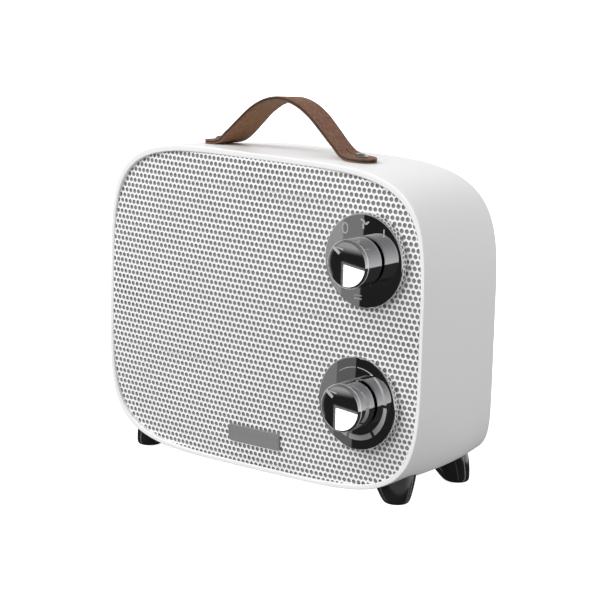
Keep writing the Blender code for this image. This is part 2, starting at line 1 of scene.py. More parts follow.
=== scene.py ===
"""Tabletop ceramic space heater: a tapered white case with a domed perforated front, two chrome
dials, a leather strap handle and four splayed feet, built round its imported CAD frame."""
import json
import math

import bmesh
import bpy
from mathutils import Matrix, Vector

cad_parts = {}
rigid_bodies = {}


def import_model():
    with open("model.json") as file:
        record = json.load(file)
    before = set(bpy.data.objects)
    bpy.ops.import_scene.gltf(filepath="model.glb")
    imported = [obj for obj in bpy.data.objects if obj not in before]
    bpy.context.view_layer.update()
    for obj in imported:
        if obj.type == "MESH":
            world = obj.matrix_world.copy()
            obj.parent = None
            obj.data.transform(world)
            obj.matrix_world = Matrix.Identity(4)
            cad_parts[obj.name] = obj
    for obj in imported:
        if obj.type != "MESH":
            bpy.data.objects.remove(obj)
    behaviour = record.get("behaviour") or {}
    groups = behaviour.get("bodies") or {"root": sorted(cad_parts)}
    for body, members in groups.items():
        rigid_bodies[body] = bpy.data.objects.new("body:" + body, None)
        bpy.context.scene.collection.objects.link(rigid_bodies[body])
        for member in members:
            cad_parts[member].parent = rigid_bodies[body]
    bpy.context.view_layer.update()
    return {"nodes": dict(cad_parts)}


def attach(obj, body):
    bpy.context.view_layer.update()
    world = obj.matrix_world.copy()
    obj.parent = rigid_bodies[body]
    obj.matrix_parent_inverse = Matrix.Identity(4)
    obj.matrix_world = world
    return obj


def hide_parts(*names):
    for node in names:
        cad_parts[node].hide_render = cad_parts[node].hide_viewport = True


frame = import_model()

MM = 0.001


# ---- camera ----------------------------------------------------------------------------------
# A long lens a little above the heater and to its right, turned by a degree and a half.
camera_data = bpy.data.cameras.new("camera")
camera_data.lens, camera_data.sensor_width = 133.4, 36.0
camera_data.clip_start, camera_data.clip_end = 0.05, 60.0
camera = bpy.data.objects.new("camera", camera_data)
bpy.context.scene.collection.objects.link(camera)
camera.matrix_world = (Matrix.Translation((0.84185, -1.08456, 0.38709))
                       @ Matrix.Rotation(math.radians(37.60), 4, "Z")
                       @ Matrix.Rotation(math.radians(90 - 11.47), 4, "X")
                       @ Matrix.Rotation(math.radians(1.46), 4, "Z"))
bpy.context.scene.camera = camera
bpy.context.scene.view_settings.view_transform = "Standard"


# ---- floor, sky and lights -----------------------------------------------------------------------
# A plain pale floor without a horizon, a pale sky for soft fill, and one broad key light from
# the front left.
def put(tree, kind, links=None, **settings):
    """A node with its settings, and each input given either a number or another node's output."""
    node = tree.nodes.new(kind)
    for key, value in settings.items():
        setattr(node, key, value)
    for slot, source in (links or {}).items():
        if isinstance(source, bpy.types.NodeSocket):
            tree.links.new(source, node.inputs[slot])
        else:
            node.inputs[slot].default_value = source
    return node


def stage_piece(name, points, faces, material):
    mesh = bpy.data.meshes.new(name)
    mesh.from_pydata(points, [], faces)
    mesh.materials.append(material)
    piece = bpy.data.objects.new(name, mesh)
    bpy.context.scene.collection.objects.link(piece)
    return piece


def floor_paint():
    material = bpy.data.materials.new("studio_floor")
    material.use_nodes = True
    shader = material.node_tree.nodes["Principled BSDF"]
    shader.inputs["Base Color"].default_value = (0.9, 0.9, 0.9, 1)
    shader.inputs["Roughness"].default_value = 0.9
    shader.inputs["Specular IOR Level"].default_value = 0.0
    shader.inputs["Emission Color"].default_value = (1, 1, 1, 1)
    shader.inputs["Emission Strength"].default_value = 0.9
    return material


FLOOR_REACH = 30.0
floor = stage_piece("studio_floor", [(-FLOOR_REACH, -FLOOR_REACH, 0), (FLOOR_REACH, -FLOOR_REACH, 0),
                                     (FLOOR_REACH, FLOOR_REACH, 0), (-FLOOR_REACH, FLOOR_REACH, 0)],
                    [(0, 1, 2, 3)], floor_paint())
floor.visible_glossy = False
floor.visible_diffuse = False

sky = bpy.data.worlds.new("studio_sky")
bpy.context.scene.world = sky
sky.use_nodes = True
sky.node_tree.nodes.clear()
direction = put(sky.node_tree, "ShaderNodeTexCoord")
toward = put(sky.node_tree, "ShaderNodeSeparateXYZ", {0: direction.outputs["Generated"]})
by_height = put(sky.node_tree, "ShaderNodeMapRange", {
    "Value": toward.outputs["Z"], "From Min": -0.6, "From Max": 0.7, "To Min": 0.50, "To Max": 0.88})
by_side = put(sky.node_tree, "ShaderNodeMapRange", {
    "Value": toward.outputs["X"], "From Min": -0.7, "From Max": 0.7, "To Min": 0.82, "To Max": 1.26})
shade = put(sky.node_tree, "ShaderNodeMath", {0: by_height.outputs[0], 1: by_side.outputs[0]},
            operation="MULTIPLY")
backdrop = put(sky.node_tree, "ShaderNodeBackground", {"Strength": shade.outputs[0]})
put(sky.node_tree, "ShaderNodeOutputWorld", {"Surface": backdrop.outputs[0]})

key_data = bpy.data.lights.new("key_light", "SUN")
key_data.energy, key_data.angle = 2.5, math.radians(50)
key = bpy.data.objects.new("key_light", key_data)
key.rotation_euler = Vector((0.55, 1.0, -0.95)).to_track_quat("-Z", "Y").to_euler()
bpy.context.scene.collection.objects.link(key)


# ---- reflection cards ------------------------------------------------------------------------------
# What the chrome shows: a dark tent with a pale upper half, and grey, black and white cards that
# stand to the left in front of the dials. They show only as reflections.
def glow(name, strength):
    material = bpy.data.materials.new(name)
    material.use_nodes = True
    tree = material.node_tree
    tree.nodes.clear()
    light = put(tree, "ShaderNodeEmission", {"Strength": strength})
    put(tree, "ShaderNodeOutputMaterial", {"Surface": light.outputs[0]})
    return material


def tent_cloth():
    material = bpy.data.materials.new("tent_cloth")
    material.use_nodes = True
    tree = material.node_tree
    tree.nodes.clear()
    place = put(tree, "ShaderNodeTexCoord")
    toward = put(tree, "ShaderNodeVectorMath", {0: place.outputs["Object"]}, operation="NORMALIZE")
    parts = put(tree, "ShaderNodeSeparateXYZ", {0: toward.outputs["Vector"]})
    wall = put(tree, "ShaderNodeMapRange", {"Value": parts.outputs["Z"], "From Min": -0.1,
                                            "From Max": 0.75, "To Min": 0.80, "To Max": 0.22})
    behind = put(tree, "ShaderNodeMapRange", {"Value": parts.outputs["Y"], "From Min": 0.1,
                                              "From Max": 0.5, "To Min": 1.0, "To Max": 1.9})
    above_floor = put(tree, "ShaderNodeMapRange", {"Value": parts.outputs["Z"], "From Min": -0.20,
                                                   "From Max": -0.17, "To Min": 0.05, "To Max": 1.0})
    bright = put(tree, "ShaderNodeMath", {0: wall.outputs[0], 1: behind.outputs[0]},
                 operation="MULTIPLY")
    seen = put(tree, "ShaderNodeMath", {0: bright.outputs[0], 1: above_floor.outputs[0]},
               operation="MULTIPLY")
    light = put(tree, "ShaderNodeEmission", {"Strength": seen.outputs[0]})
    put(tree, "ShaderNodeOutputMaterial", {"Surface": light.outputs[0]})
    return material


def mirrored_only(piece):
    piece.visible_camera = False
    piece.visible_diffuse = False
    piece.visible_transmission = False
    piece.visible_volume_scatter = False
    piece.visible_shadow = False


tent_mesh = bmesh.new()
bmesh.ops.create_uvsphere(tent_mesh, u_segments=32, v_segments=16, radius=4.0)
tent_data = bpy.data.meshes.new("studio_tent")
tent_mesh.to_mesh(tent_data)
tent_mesh.free()
tent_data.materials.append(tent_cloth())
tent = bpy.data.objects.new("studio_tent", tent_data)
bpy.context.scene.collection.objects.link(tent)
mirrored_only(tent)

def keep_side(outline, point, normal):
    """The part of a convex outline on the side of a line that its normal points to."""
    kept = []
    for k, here in enumerate(outline):
        there = outline[(k + 1) % len(outline)]
        a = (here[0] - point[0]) * normal[0] + (here[1] - point[1]) * normal[1]
        b = (there[0] - point[0]) * normal[0] + (there[1] - point[1]) * normal[1]
        if a >= 0:
            kept.append(here)
        if (a >= 0) != (b >= 0):
            kept.append((here[0] + (there[0] - here[0]) * a / (a - b),
                         here[1] + (there[1] - here[1]) * a / (a - b)))
    return kept


CARD_Y = -220.0
cards = [
    ("grey_card_upper", 0.40, 0.0, ((-200, 57), (-68, 57), (-66.3, 170), (-200, 170))),
    ("grey_card_lower", 0.25, 0.0, ((-200, -70), (-72, -70), (-68, 57), (-200, 57))),
    ("band_card_upper", 0.24, 0.0, ((-68, 57), (-51.8, 57), (-48.4, 170), (-66.3, 170))),
    ("band_card_lower", 0.14, 0.0, ((-72, -70), (-55.5, -70), (-51.8, 57), (-68, 57))),
    ("black_card", 0.018, 0.0, ((-55.5, -70), (60, -70), (60, 170), (-48.4, 170), (-51.8, 57))),
]
# What each knob's face shows is cut to the face's own outline, so the plates behind never see it:
# centre of that outline, top edge of the white card, its left edge, and the edge of the pale top.
FACE_CARDS = {
    "power": ((-36.6, 111.6), ((-38.7, 111.3), (-22.1, 109.1)), -38.9, ((-46.3, 121.5), (-25.5, 120.5))),
    "thermostat": ((-38.8, 10.7), ((-41.6, 10.5), (-26.0, 9.1)), -42.1, ((-49.3, 20.6), (-29.6, 21.2))),
}
for dial, (centre, white_top, white_left, pale_edge) in FACE_CARDS.items():
    disc = [(centre[0] + 15.6 * math.cos(math.pi * k / 32), centre[1] + 15.6 * math.sin(math.pi * k / 32))
            for k in range(64)]
    slope = ((white_top[1][0] - white_top[0][0]), (white_top[1][1] - white_top[0][1]))
    below = (slope[1], -slope[0])
    cards.append((dial + "_face_black", 0.018, 1.0, disc))
    for k in range(5):
        lift = k * 1.0
        edge = (pale_edge[0][0], pale_edge[0][1] + lift - 2.0)
        run = (pale_edge[1][0] - pale_edge[0][0], pale_edge[1][1] - pale_edge[0][1])
        cards.append((f"{dial}_face_pale_{k}", 0.06 + 0.09 * k, 1.2 + 0.2 * k,
                      keep_side(disc, edge, (-run[1], run[0]))))
    border = keep_side(keep_side(disc, (white_top[0][0], white_top[0][1] + 1.7), below),
                       (white_left - 2.4, 0), (1, 0))
    cards.append((dial + "_white_border", 0.20, 2.4, border))
    white = keep_side(keep_side(disc, white_top[0], below), (white_left, 0), (1, 0))
    cards.append((dial + "_white", 3.0, 3.0, white))
for title, strength, step, corners in cards:
    card = stage_piece(title, [(x * MM, (CARD_Y + step) * MM, z * MM) for x, z in corners],
                       [tuple(range(len(corners)))], glow(title, strength))
    mirrored_only(card)

# Low upright strips beside the feet, for the soft streaks in their gloss. The floor is not
# mirrored, so they reach down through it.
for k, (x, y, width, bright) in enumerate(((30, -60, 14, 3.0), (160, 26, 8, 2.6), (34, 8, 16, 2.6),
                                           (162, 92, 9, 3.4), (-170, -60, 14, 3.0))):
    strip = stage_piece(f"foot_strip_{k}", [((x - width / 2) * MM, y * MM, -0.110),
                                            ((x + width / 2) * MM, y * MM, -0.110),
                                            ((x + width / 2) * MM, y * MM, 0.012),
                                            ((x - width / 2) * MM, y * MM, 0.012)],
                        [(0, 1, 2, 3)], glow(f"foot_strip_{k}", bright))
    mirrored_only(strip)


# ---- case ----------------------------------------------------------------------------------------
# One deep injection-moulded shell of satin white plastic. Its outline is a squarish oval that
# shrinks towards the back and lifts off the table; a narrow lip frames the front sheet.
RIM_Y, CASE_DEPTH = -33.2, 88.0
RIM_HALF_WIDTH, RIM_TOP_Z, RIM_BOTTOM_Z, RIM_POWER = 124.0, 203.8, 4.0, 4.7
BACK_HALF_WIDTH, BACK_TOP_Z, BACK_BOTTOM_Z = 118.0, 198.9, 16.6
BACK_POWER_TOP, BACK_POWER_BOTTOM, TAPER_POWER = 4.1, 10.0, 1.8
WALL, LIP, TOP_LIP_SHARE = 3.0, 2.75, 1.35


def calc(tree, operation, *terms):
    """One sum on sockets or numbers."""
    return put(tree, "ShaderNodeMath", dict(enumerate(terms)), operation=operation).outputs[0]


def shaping_tree(title, numbers):
    """A node tree that takes a shape and named numbers, and the sockets to build it from."""
    tree = bpy.data.node_groups.new(title, "GeometryNodeTree")
    tree.interface.new_socket("Shape", in_out="INPUT", socket_type="NodeSocketGeometry")
    tree.interface.new_socket("Shape", in_out="OUTPUT", socket_type="NodeSocketGeometry")
    for label, value in numbers.items():
        kind = "NodeSocketVector" if isinstance(value, tuple) else "NodeSocketFloat"
        tree.interface.new_socket(label, in_out="INPUT", socket_type=kind).default_value = value
    tree.interface.new_socket("Finish", in_out="INPUT", socket_type="NodeSocketMaterial")
    entry = tree.nodes.new("NodeGroupInput")
    return tree, {socket.name: socket for socket in entry.outputs if socket.name}


def close_tree(tree, shape, finish_socket):
    """Ends a shaping tree with real geometry and the piece's material."""
    real = put(tree, "GeometryNodeRealizeInstances", {"Geometry": shape})
    dressed = put(tree, "GeometryNodeSetMaterial", {"Geometry": real.outputs[0],
                                                    "Material": finish_socket})
    put(tree, "NodeGroupOutput", {"Shape": dressed.outputs[0]})


def shaped(name, mesh, tree, material, numbers=None, sharp=32.0):
    """Runs a mesh through a shaping tree and keeps the result as a plain mesh object."""
    blank = bpy.data.objects.new(name + "_blank", mesh)
    bpy.context.scene.collection.objects.link(blank)
    run = blank.modifiers.new(tree.name, "NODES")
    run.node_group = tree
    for item in tree.interface.items_tree:
        if item.item_type == "SOCKET" and item.in_out == "INPUT":
            if item.name == "Finish":
                run[item.identifier] = material
            elif numbers and item.name in numbers:
                run[item.identifier] = numbers[item.name]
    return plain(name, blank, sharp)


def plain(name, source, sharp=32.0):
    """The evaluated shape of an object as a new object with no modifiers."""
    graph = bpy.context.evaluated_depsgraph_get()
    graph.update()
    mesh = bpy.data.meshes.new_from_object(source.evaluated_get(graph),
                                           preserve_all_data_layers=True, depsgraph=graph)
    mesh.name = name
    bpy.data.objects.remove(source, do_unlink=True)
    piece = bpy.data.objects.new(name, mesh)
    bpy.context.scene.collection.objects.link(piece)
    mesh.shade_smooth()
    mesh.set_sharp_from_angle(angle=math.radians(sharp))
    return piece


def case_rule():
    """Bends a sheet whose points are (turn, depth, inset) round the case's outline."""
    tree, given = shaping_tree("case_outline", {
        "Depth": CASE_DEPTH, "Taper": TAPER_POWER, "Front Y": RIM_Y,
        "Front Half Width": RIM_HALF_WIDTH, "Back Half Width": BACK_HALF_WIDTH,
        "Front Top": RIM_TOP_Z, "Back Top": BACK_TOP_Z,
        "Front Bottom": RIM_BOTTOM_Z, "Back Bottom": BACK_BOTTOM_Z,
        "Front Power": RIM_POWER, "Back Power Above": BACK_POWER_TOP, "Top Lip Share": TOP_LIP_SHARE,
        "Back Power Below": BACK_POWER_BOTTOM})
    place = put(tree, "GeometryNodeInputPosition")
    part = put(tree, "ShaderNodeSeparateXYZ", {0: place.outputs[0]}).outputs
    turn, depth, inset = part["X"], part["Y"], part["Z"]
    share = put(tree, "ShaderNodeClamp", {0: calc(tree, "DIVIDE", depth, given["Depth"])})
    share = calc(tree, "POWER", share.outputs[0], given["Taper"])

    def blend(front, back):
        return calc(tree, "MULTIPLY_ADD", calc(tree, "SUBTRACT", back, front), share, front)

    half = calc(tree, "SUBTRACT", blend(given["Front Half Width"], given["Back Half Width"]), inset)
    top = calc(tree, "SUBTRACT", blend(given["Front Top"], given["Back Top"]),
               calc(tree, "MULTIPLY", inset, given["Top Lip Share"]))
    bottom = calc(tree, "ADD", blend(given["Front Bottom"], given["Back Bottom"]), inset)
    cosine, sine = calc(tree, "COSINE", turn), calc(tree, "SINE", turn)
    above = blend(given["Front Power"], given["Back Power Above"])
    below = blend(given["Front Power"], given["Back Power Below"])
    is_above = calc(tree, "GREATER_THAN", sine, 0.0)
    power = calc(tree, "MULTIPLY_ADD", calc(tree, "SUBTRACT", above, below), is_above, below)
    root = calc(tree, "DIVIDE", 2.0, power)

    def eased(wave):
        return calc(tree, "MULTIPLY", calc(tree, "SIGN", wave),
                    calc(tree, "POWER", calc(tree, "ABSOLUTE", wave), root))

    middle = calc(tree, "MULTIPLY", calc(tree, "ADD", top, bottom), 0.5)
    reach = calc(tree, "MULTIPLY", calc(tree, "SUBTRACT", top, bottom), 0.5)
    x = calc(tree, "MULTIPLY", half, eased(cosine))
    z = calc(tree, "MULTIPLY_ADD", reach, eased(sine), middle)
    y = calc(tree, "ADD", depth, given["Front Y"])
    spot = put(tree, "ShaderNodeCombineXYZ", {0: x, 1: y, 2: z})
    metres = put(tree, "ShaderNodeVectorMath", {0: spot.outputs[0], 3: MM}, operation="SCALE")
    moved = put(tree, "GeometryNodeSetPosition", {"Geometry": given["Shape"],
                                                  "Position": metres.outputs[0]})
    close_tree(tree, moved.outputs[0], given["Finish"])
    return tree


def turn_sheet(name, profile, count, closed=True):
    """A sheet of (turn, depth, inset) points, joined into a ring round the turn."""
    net = bmesh.new()
    rows = [[net.verts.new((2 * math.pi * (k + 0.5) / count, depth, inset)) for k in range(count)]
            for depth, inset in profile]
    for one, two in zip(rows, rows[1:] + (rows[:1] if closed else [])):
        for k in range(count):
            m = (k + 1) % count
            net.faces.new((one[k], one[m], two[m], two[k]))
    if not closed:
        net.faces.new(rows[0][::-1])
        net.faces.new(rows[-1])
    mesh = bpy.data.meshes.new(name)
    net.to_mesh(mesh)
    net.free()
    return mesh


def arc(centre, radius, start, end, steps):
    """Points along a round edge, in degrees."""
    return [(centre[0] + radius * math.cos(math.radians(start + (end - start) * k / steps)),
             centre[1] + radius * math.sin(math.radians(start + (end - start) * k / steps)))
            for k in range(steps + 1)]


def moulded_plastic(name, colour, rough, grain=0.06, spread=0.012):
    """Moulded plastic: a fine spark-eroded grain, and gloss and tone that drift very slightly."""
    material = bpy.data.materials.new(name)
    material.use_nodes = True
    tree = material.node_tree
    shader = tree.nodes["Principled BSDF"]
    place = put(tree, "ShaderNodeTexCoord")
    broad = put(tree, "ShaderNodeTexNoise", {"Vector": place.outputs["Object"], "Scale": 14.0,
                                             "Detail": 3.0})
    fine = put(tree, "ShaderNodeTexNoise", {"Vector": place.outputs["Object"], "Scale": 2600.0,
                                            "Detail": 2.0})
    low = tuple(c * (1 - spread) for c in colour)
    high = tuple(min(c * (1 + spread), 1.0) for c in colour)
    tone = put(tree, "ShaderNodeMix", {0: broad.outputs["Fac"], 6: (*low, 1), 7: (*high, 1)},
               data_type="RGBA")
    gloss = put(tree, "ShaderNodeMapRange", {"Value": broad.outputs["Fac"], "From Min": 0.3,
                                             "From Max": 0.7, "To Min": rough - 0.04,
                                             "To Max": rough + 0.04})
    skin = put(tree, "ShaderNodeBump", {"Strength": grain, "Distance": 0.0001,
                                        "Height": fine.outputs["Fac"]})
    tree.links.new(tone.outputs[2], shader.inputs["Base Color"])
    tree.links.new(gloss.outputs["Result"], shader.inputs["Roughness"])
    tree.links.new(skin.outputs["Normal"], shader.inputs["Normal"])
    return material


white_plastic = moulded_plastic("white_plastic", (0.80, 0.80, 0.805), 0.42)
case_profile = (arc((0.6, 0.6), 0.6, 180, 270, 5) + [(d, 0.0) for d in range(4, 86, 3)]
                + arc((86.5, 1.5), 1.5, 270, 360, 6) + [(88.0, 2.6), (87.6, 3.0), (83.4, 3.0),
                (83.4, 5.5), (81.0, 5.5), (79.0, WALL)] + [(d, WALL) for d in range(70, 8, -12)]
                + [(3.0, LIP), (0.4, LIP), (0.0, LIP - 0.4), (0.0, 1.8)])
case_outline = case_rule()
case = shaped("case", turn_sheet("case_sheet", case_profile, 240), case_outline, white_plastic)
bm = bmesh.new()
bm.from_mesh(case.data)
bmesh.ops.recalc_face_normals(bm, faces=bm.faces)
bm.to_mesh(case.data)
bm.free()
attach(case, "case")
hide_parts("case_shell")


# ---- perforated front ----------------------------------------------------------------------------
# A 1 mm steel sheet, punched with staggered round holes, pressed to a shallow dome and powder
# coated white. The holes run out under the lip of the case.
APEX_Y, DOME_Z, CURVE_X, CURVE_Z = RIM_Y - 4.6, 105.4, 0.000317, 0.000532
SHEET_HALF_WIDTH, SHEET_HALF_HEIGHT, SHEET_CENTRE_Z, SHEET_THICKNESS = 121.2, 97.1, 103.9, 0.5
DIALS = {"power": (82.9, 149.1), "thermostat": (81.0, 61.9)}
DIAL_SEAT_Y, PLATE_R = -35.9, 28.5


def dome_y(x, z):
    return APEX_Y + CURVE_X * x * x + CURVE_Z * (z - DOME_Z) ** 2


def squarish(half_width, half_height, power, count):
    points = []
    for k in range(count):
        angle = 2 * math.pi * (k + 0.5) / count
        c, s = math.cos(angle), math.sin(angle)
        points.append((half_width * math.copysign(abs(c) ** (2 / power), c),
                       half_height * math.copysign(abs(s) ** (2 / power), s)))
    return points


def slab(name, outline, low, high):
    """A flat closed slab with this outline in XY, in millimetres."""
    net = bmesh.new()
    bottom = [net.verts.new((x, y, low)) for x, y in outline]
    top = [net.verts.new((x, y, high)) for x, y in outline]
    net.faces.new(bottom[::-1])
    net.faces.new(top)
    for k in range(len(outline)):
        m = (k + 1) % len(outline)
        net.faces.new((bottom[k], bottom[m], top[m], top[k]))
    mesh = bpy.data.meshes.new(name)
    net.to_mesh(mesh)
    net.free()
    return mesh


def punching_rule():
    """Punches staggered holes through a flat sheet, then bows the sheet onto the dome."""
    tree, given = shaping_tree("punched_sheet", {
        "Pitch Across": 3.503, "Pitch Up": 3.52, "Hole Diameter": 2.9, "Columns": 75.0, "Rows": 59.0,
        "Shift Across": 0.508, "Shift Up": -1.57, "Plain Under Dials": 23.5,
        "Power Dial": (82.9, 45.2, 0.0), "Thermostat Dial": (81.0, -42.0, 0.0),
        "Apex Y": APEX_Y, "Curve Across": CURVE_X, "Curve Up": CURVE_Z,
        "Dome Z": DOME_Z, "Centre Z": SHEET_CENTRE_Z})
    columns = calc(tree, "ROUND", given["Columns"])
    rows = calc(tree, "ROUND", given["Rows"])
    wide = calc(tree, "MULTIPLY", calc(tree, "SUBTRACT", columns, 1.0), given["Pitch Across"])
    tall = calc(tree, "MULTIPLY", calc(tree, "SUBTRACT", rows, 1.0), given["Pitch Up"])
    lattice = put(tree, "GeometryNodeMeshGrid", {"Size X": wide, "Size Y": tall,
                                                 "Vertices X": columns, "Vertices Y": rows})
    part = put(tree, "ShaderNodeSeparateXYZ",
               {0: put(tree, "GeometryNodeInputPosition").outputs[0]}).outputs
    row = calc(tree, "ROUND", calc(tree, "DIVIDE", calc(tree, "ADD", part["Y"],
                                                        calc(tree, "MULTIPLY", tall, 0.5)),
                                   given["Pitch Up"]))
    stagger = calc(tree, "MULTIPLY", calc(tree, "MODULO", row, 2.0),
                   calc(tree, "MULTIPLY", given["Pitch Across"], 0.5))
    shift = put(tree, "ShaderNodeCombineXYZ", {0: calc(tree, "ADD", stagger, given["Shift Across"]),
                                               1: given["Shift Up"]})
    staggered = put(tree, "GeometryNodeSetPosition", {"Geometry": lattice.outputs[0],
                                                      "Offset": shift.outputs[0]}).outputs[0]
    for dial in ("Power Dial", "Thermostat Dial"):
        gap = put(tree, "ShaderNodeVectorMath", {0: put(tree, "GeometryNodeInputPosition").outputs[0],
                                                 1: given[dial]}, operation="DISTANCE")
        near = calc(tree, "LESS_THAN", gap.outputs["Value"], given["Plain Under Dials"])
        staggered = put(tree, "GeometryNodeDeleteGeometry", {"Geometry": staggered,
                                                             "Selection": near}).outputs[0]
    punch = put(tree, "GeometryNodeMeshCylinder", {
        "Vertices": 12, "Radius": calc(tree, "MULTIPLY", given["Hole Diameter"], 0.5), "Depth": 6.0})
    punches = put(tree, "GeometryNodeInstanceOnPoints", {"Points": staggered,
                                                         "Instance": punch.outputs["Mesh"]})
    loose = put(tree, "GeometryNodeRealizeInstances", {"Geometry": punches.outputs[0]})
    cut = put(tree, "GeometryNodeMeshBoolean", {"Mesh 1": given["Shape"], "Mesh 2": loose.outputs[0]},
              operation="DIFFERENCE", solver="MANIFOLD")
    part = put(tree, "ShaderNodeSeparateXYZ",
               {0: put(tree, "GeometryNodeInputPosition").outputs[0]}).outputs
    z = calc(tree, "ADD", part["Y"], given["Centre Z"])
    rise = calc(tree, "SUBTRACT", z, given["Dome Z"])
    bow = calc(tree, "MULTIPLY_ADD", calc(tree, "MULTIPLY", part["X"], part["X"]),
               given["Curve Across"], given["Apex Y"])
    bow = calc(tree, "MULTIPLY_ADD", calc(tree, "MULTIPLY", rise, rise), given["Curve Up"], bow)
    spot = put(tree, "ShaderNodeCombineXYZ", {0: part["X"], 1: calc(tree, "ADD", bow, part["Z"]), 2: z})
    metres = put(tree, "ShaderNodeVectorMath", {0: spot.outputs[0], 3: MM}, operation="SCALE")
    bowed = put(tree, "GeometryNodeSetPosition", {"Geometry": cut.outputs["Mesh"],
                                                  "Position": metres.outputs[0]})
    outward = put(tree, "GeometryNodeFlipFaces", {"Mesh": bowed.outputs[0]})
    close_tree(tree, outward.outputs[0], given["Finish"])
    return tree


def powder_coat(name, colour):
    """Powder coat on steel: very slight orange peel under a satin skin."""
    material = moulded_plastic(name, colour, 0.45, grain=0.0, spread=0.006)
    tree = material.node_tree
    place = put(tree, "ShaderNodeTexCoord")
    peel = put(tree, "ShaderNodeTexNoise", {"Vector": place.outputs["Object"], "Scale": 900.0,
                                            "Detail": 1.0})
    skin = put(tree, "ShaderNodeBump", {"Strength": 0.08, "Distance": 0.0002,
                                        "Height": peel.outputs["Fac"]})
    tree.links.new(skin.outputs["Normal"], tree.nodes["Principled BSDF"].inputs["Normal"])
    return material


sheet_outline = squarish(SHEET_HALF_WIDTH, SHEET_HALF_HEIGHT, RIM_POWER, 360)
front = shaped("perforated_front", slab("front_blank", sheet_outline, 0.0, SHEET_THICKNESS),
               punching_rule(), powder_coat("white_steel", (0.86, 0.86, 0.86)))
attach(front, "case")
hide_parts("front_grille")


# ---- shade screen behind the holes -----------------------------------------------------------------
# A grey woven screen stretched close behind the punched sheet. Its grey is painted shade: it stands in
# for the dim inside of the heater seen through the holes, and makes every hole read the same grey.
def woven_screen(name, colour):
    material = bpy.data.materials.new(name)
    material.use_nodes = True
    tree = material.node_tree
    shader = tree.nodes["Principled BSDF"]
    place = put(tree, "ShaderNodeTexCoord")
    warp = put(tree, "ShaderNodeTexWave", {"Vector": place.outputs["Object"], "Scale": 900.0},
               bands_direction="X")
    weft = put(tree, "ShaderNodeTexWave", {"Vector": place.outputs["Object"], "Scale": 900.0},
               bands_direction="Z")
    weave = put(tree, "ShaderNodeMath", {0: warp.outputs["Fac"], 1: weft.outputs["Fac"]},
                operation="MAXIMUM")
    tone = put(tree, "ShaderNodeMix", {0: weave.outputs[0], 6: (*(c * 0.75 for c in colour), 1),
                                       7: (*(c * 1.08 for c in colour), 1)}, data_type="RGBA")
    skin = put(tree, "ShaderNodeBump", {"Strength": 0.3, "Distance": 0.0001,
                                        "Height": weave.outputs[0]})
    tree.links.new(tone.outputs[2], shader.inputs["Base Color"])
    tree.links.new(skin.outputs["Normal"], shader.inputs["Normal"])
    shader.inputs["Roughness"].default_value = 0.85
    return material


def bowed_sheet(name, scale_edge, front_gap, thickness, material, rings=24, count=160):
    """A thin sheet that follows the dome at a set distance behind its front."""
    net = bmesh.new()
    levels = []
    for back in (0, 1):
        rows = []
        for ring in range(1, rings + 1):
            share = scale_edge * ring / rings
            rows.append([net.verts.new((x * MM, (dome_y(x, SHEET_CENTRE_Z + z) + front_gap
                                                 + back * thickness) * MM,
                                        (SHEET_CENTRE_Z + z) * MM))
                         for x, z in squarish(SHEET_HALF_WIDTH * share, SHEET_HALF_HEIGHT * share,
                                              RIM_POWER, count)])
        net.faces.new(rows[0])
        for one, two in zip(rows, rows[1:]):
            for k in range(count):
                m = (k + 1) % count
                net.faces.new((one[k], one[m], two[m], two[k]))
        levels.append(rows[-1])
    for k in range(count):
        m = (k + 1) % count
        net.faces.new((levels[0][k], levels[0][m], levels[1][m], levels[1][k]))
    bmesh.ops.recalc_face_normals(net, faces=net.faces)
    mesh = bpy.data.meshes.new(name)
    net.to_mesh(mesh)
    net.free()
    mesh.materials.append(material)
    piece = bpy.data.objects.new(name, mesh)
    bpy.context.scene.collection.objects.link(piece)
    mesh.shade_smooth()
    mesh.set_sharp_from_angle(angle=math.radians(40))
    return piece


# Painted shade: this grey sheet right behind the holes stands in for the dim inside seen through them.
shade_screen = bowed_sheet("dust_screen", 0.995, SHEET_THICKNESS + 0.06, 0.16,
                     woven_screen("screen_cloth", (0.205, 0.205, 0.205)))
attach(shade_screen, "case")


# ---- badge -----------------------------------------------------------------------------------------
# A blank satin grey plate with rounded corners and a fine paler edge, stuck to the sheet.
BADGE_X, BADGE_Z, BADGE_W, BADGE_H = 0.5, 25.9, 40.5, 10.8


def rounded_box_outline(half_width, half_height, corner, steps=6):
    points = []
    for cx, cy, start in ((1, 1, 0), (-1, 1, 90), (-1, -1, 180), (1, -1, 270)):
        points += arc((cx * (half_width - corner), cy * (half_height - corner)), corner,
                      start, start + 90, steps)
    return points


def tilted(points, turn, centre):
    return [turn @ Vector(point) * MM + Vector(centre) * MM for point in points]


def stacked(name, rings, material, sharp=32.0, caps=(True, True)):
    """A closed skin over equal rings of points, given in metres."""
    net = bmesh.new()
    rows = [[net.verts.new(point) for point in ring] for ring in rings]
    count = len(rows[0])
    for one, two in zip(rows, rows[1:]):
        for k in range(count):
            m = (k + 1) % count
            net.faces.new((one[k], one[m], two[m], two[k]))
    for cap, row in zip(caps, (rows[0][::-1], rows[-1])):
        if cap:
            net.faces.new(row)
    bmesh.ops.recalc_face_normals(net, faces=net.faces)
    mesh = bpy.data.meshes.new(name)
    net.to_mesh(mesh)
    net.free()
    mesh.materials.append(material)
    piece = bpy.data.objects.new(name, mesh)
    bpy.context.scene.collection.objects.link(piece)
    mesh.shade_smooth()
    mesh.set_sharp_from_angle(angle=math.radians(sharp))
    return piece


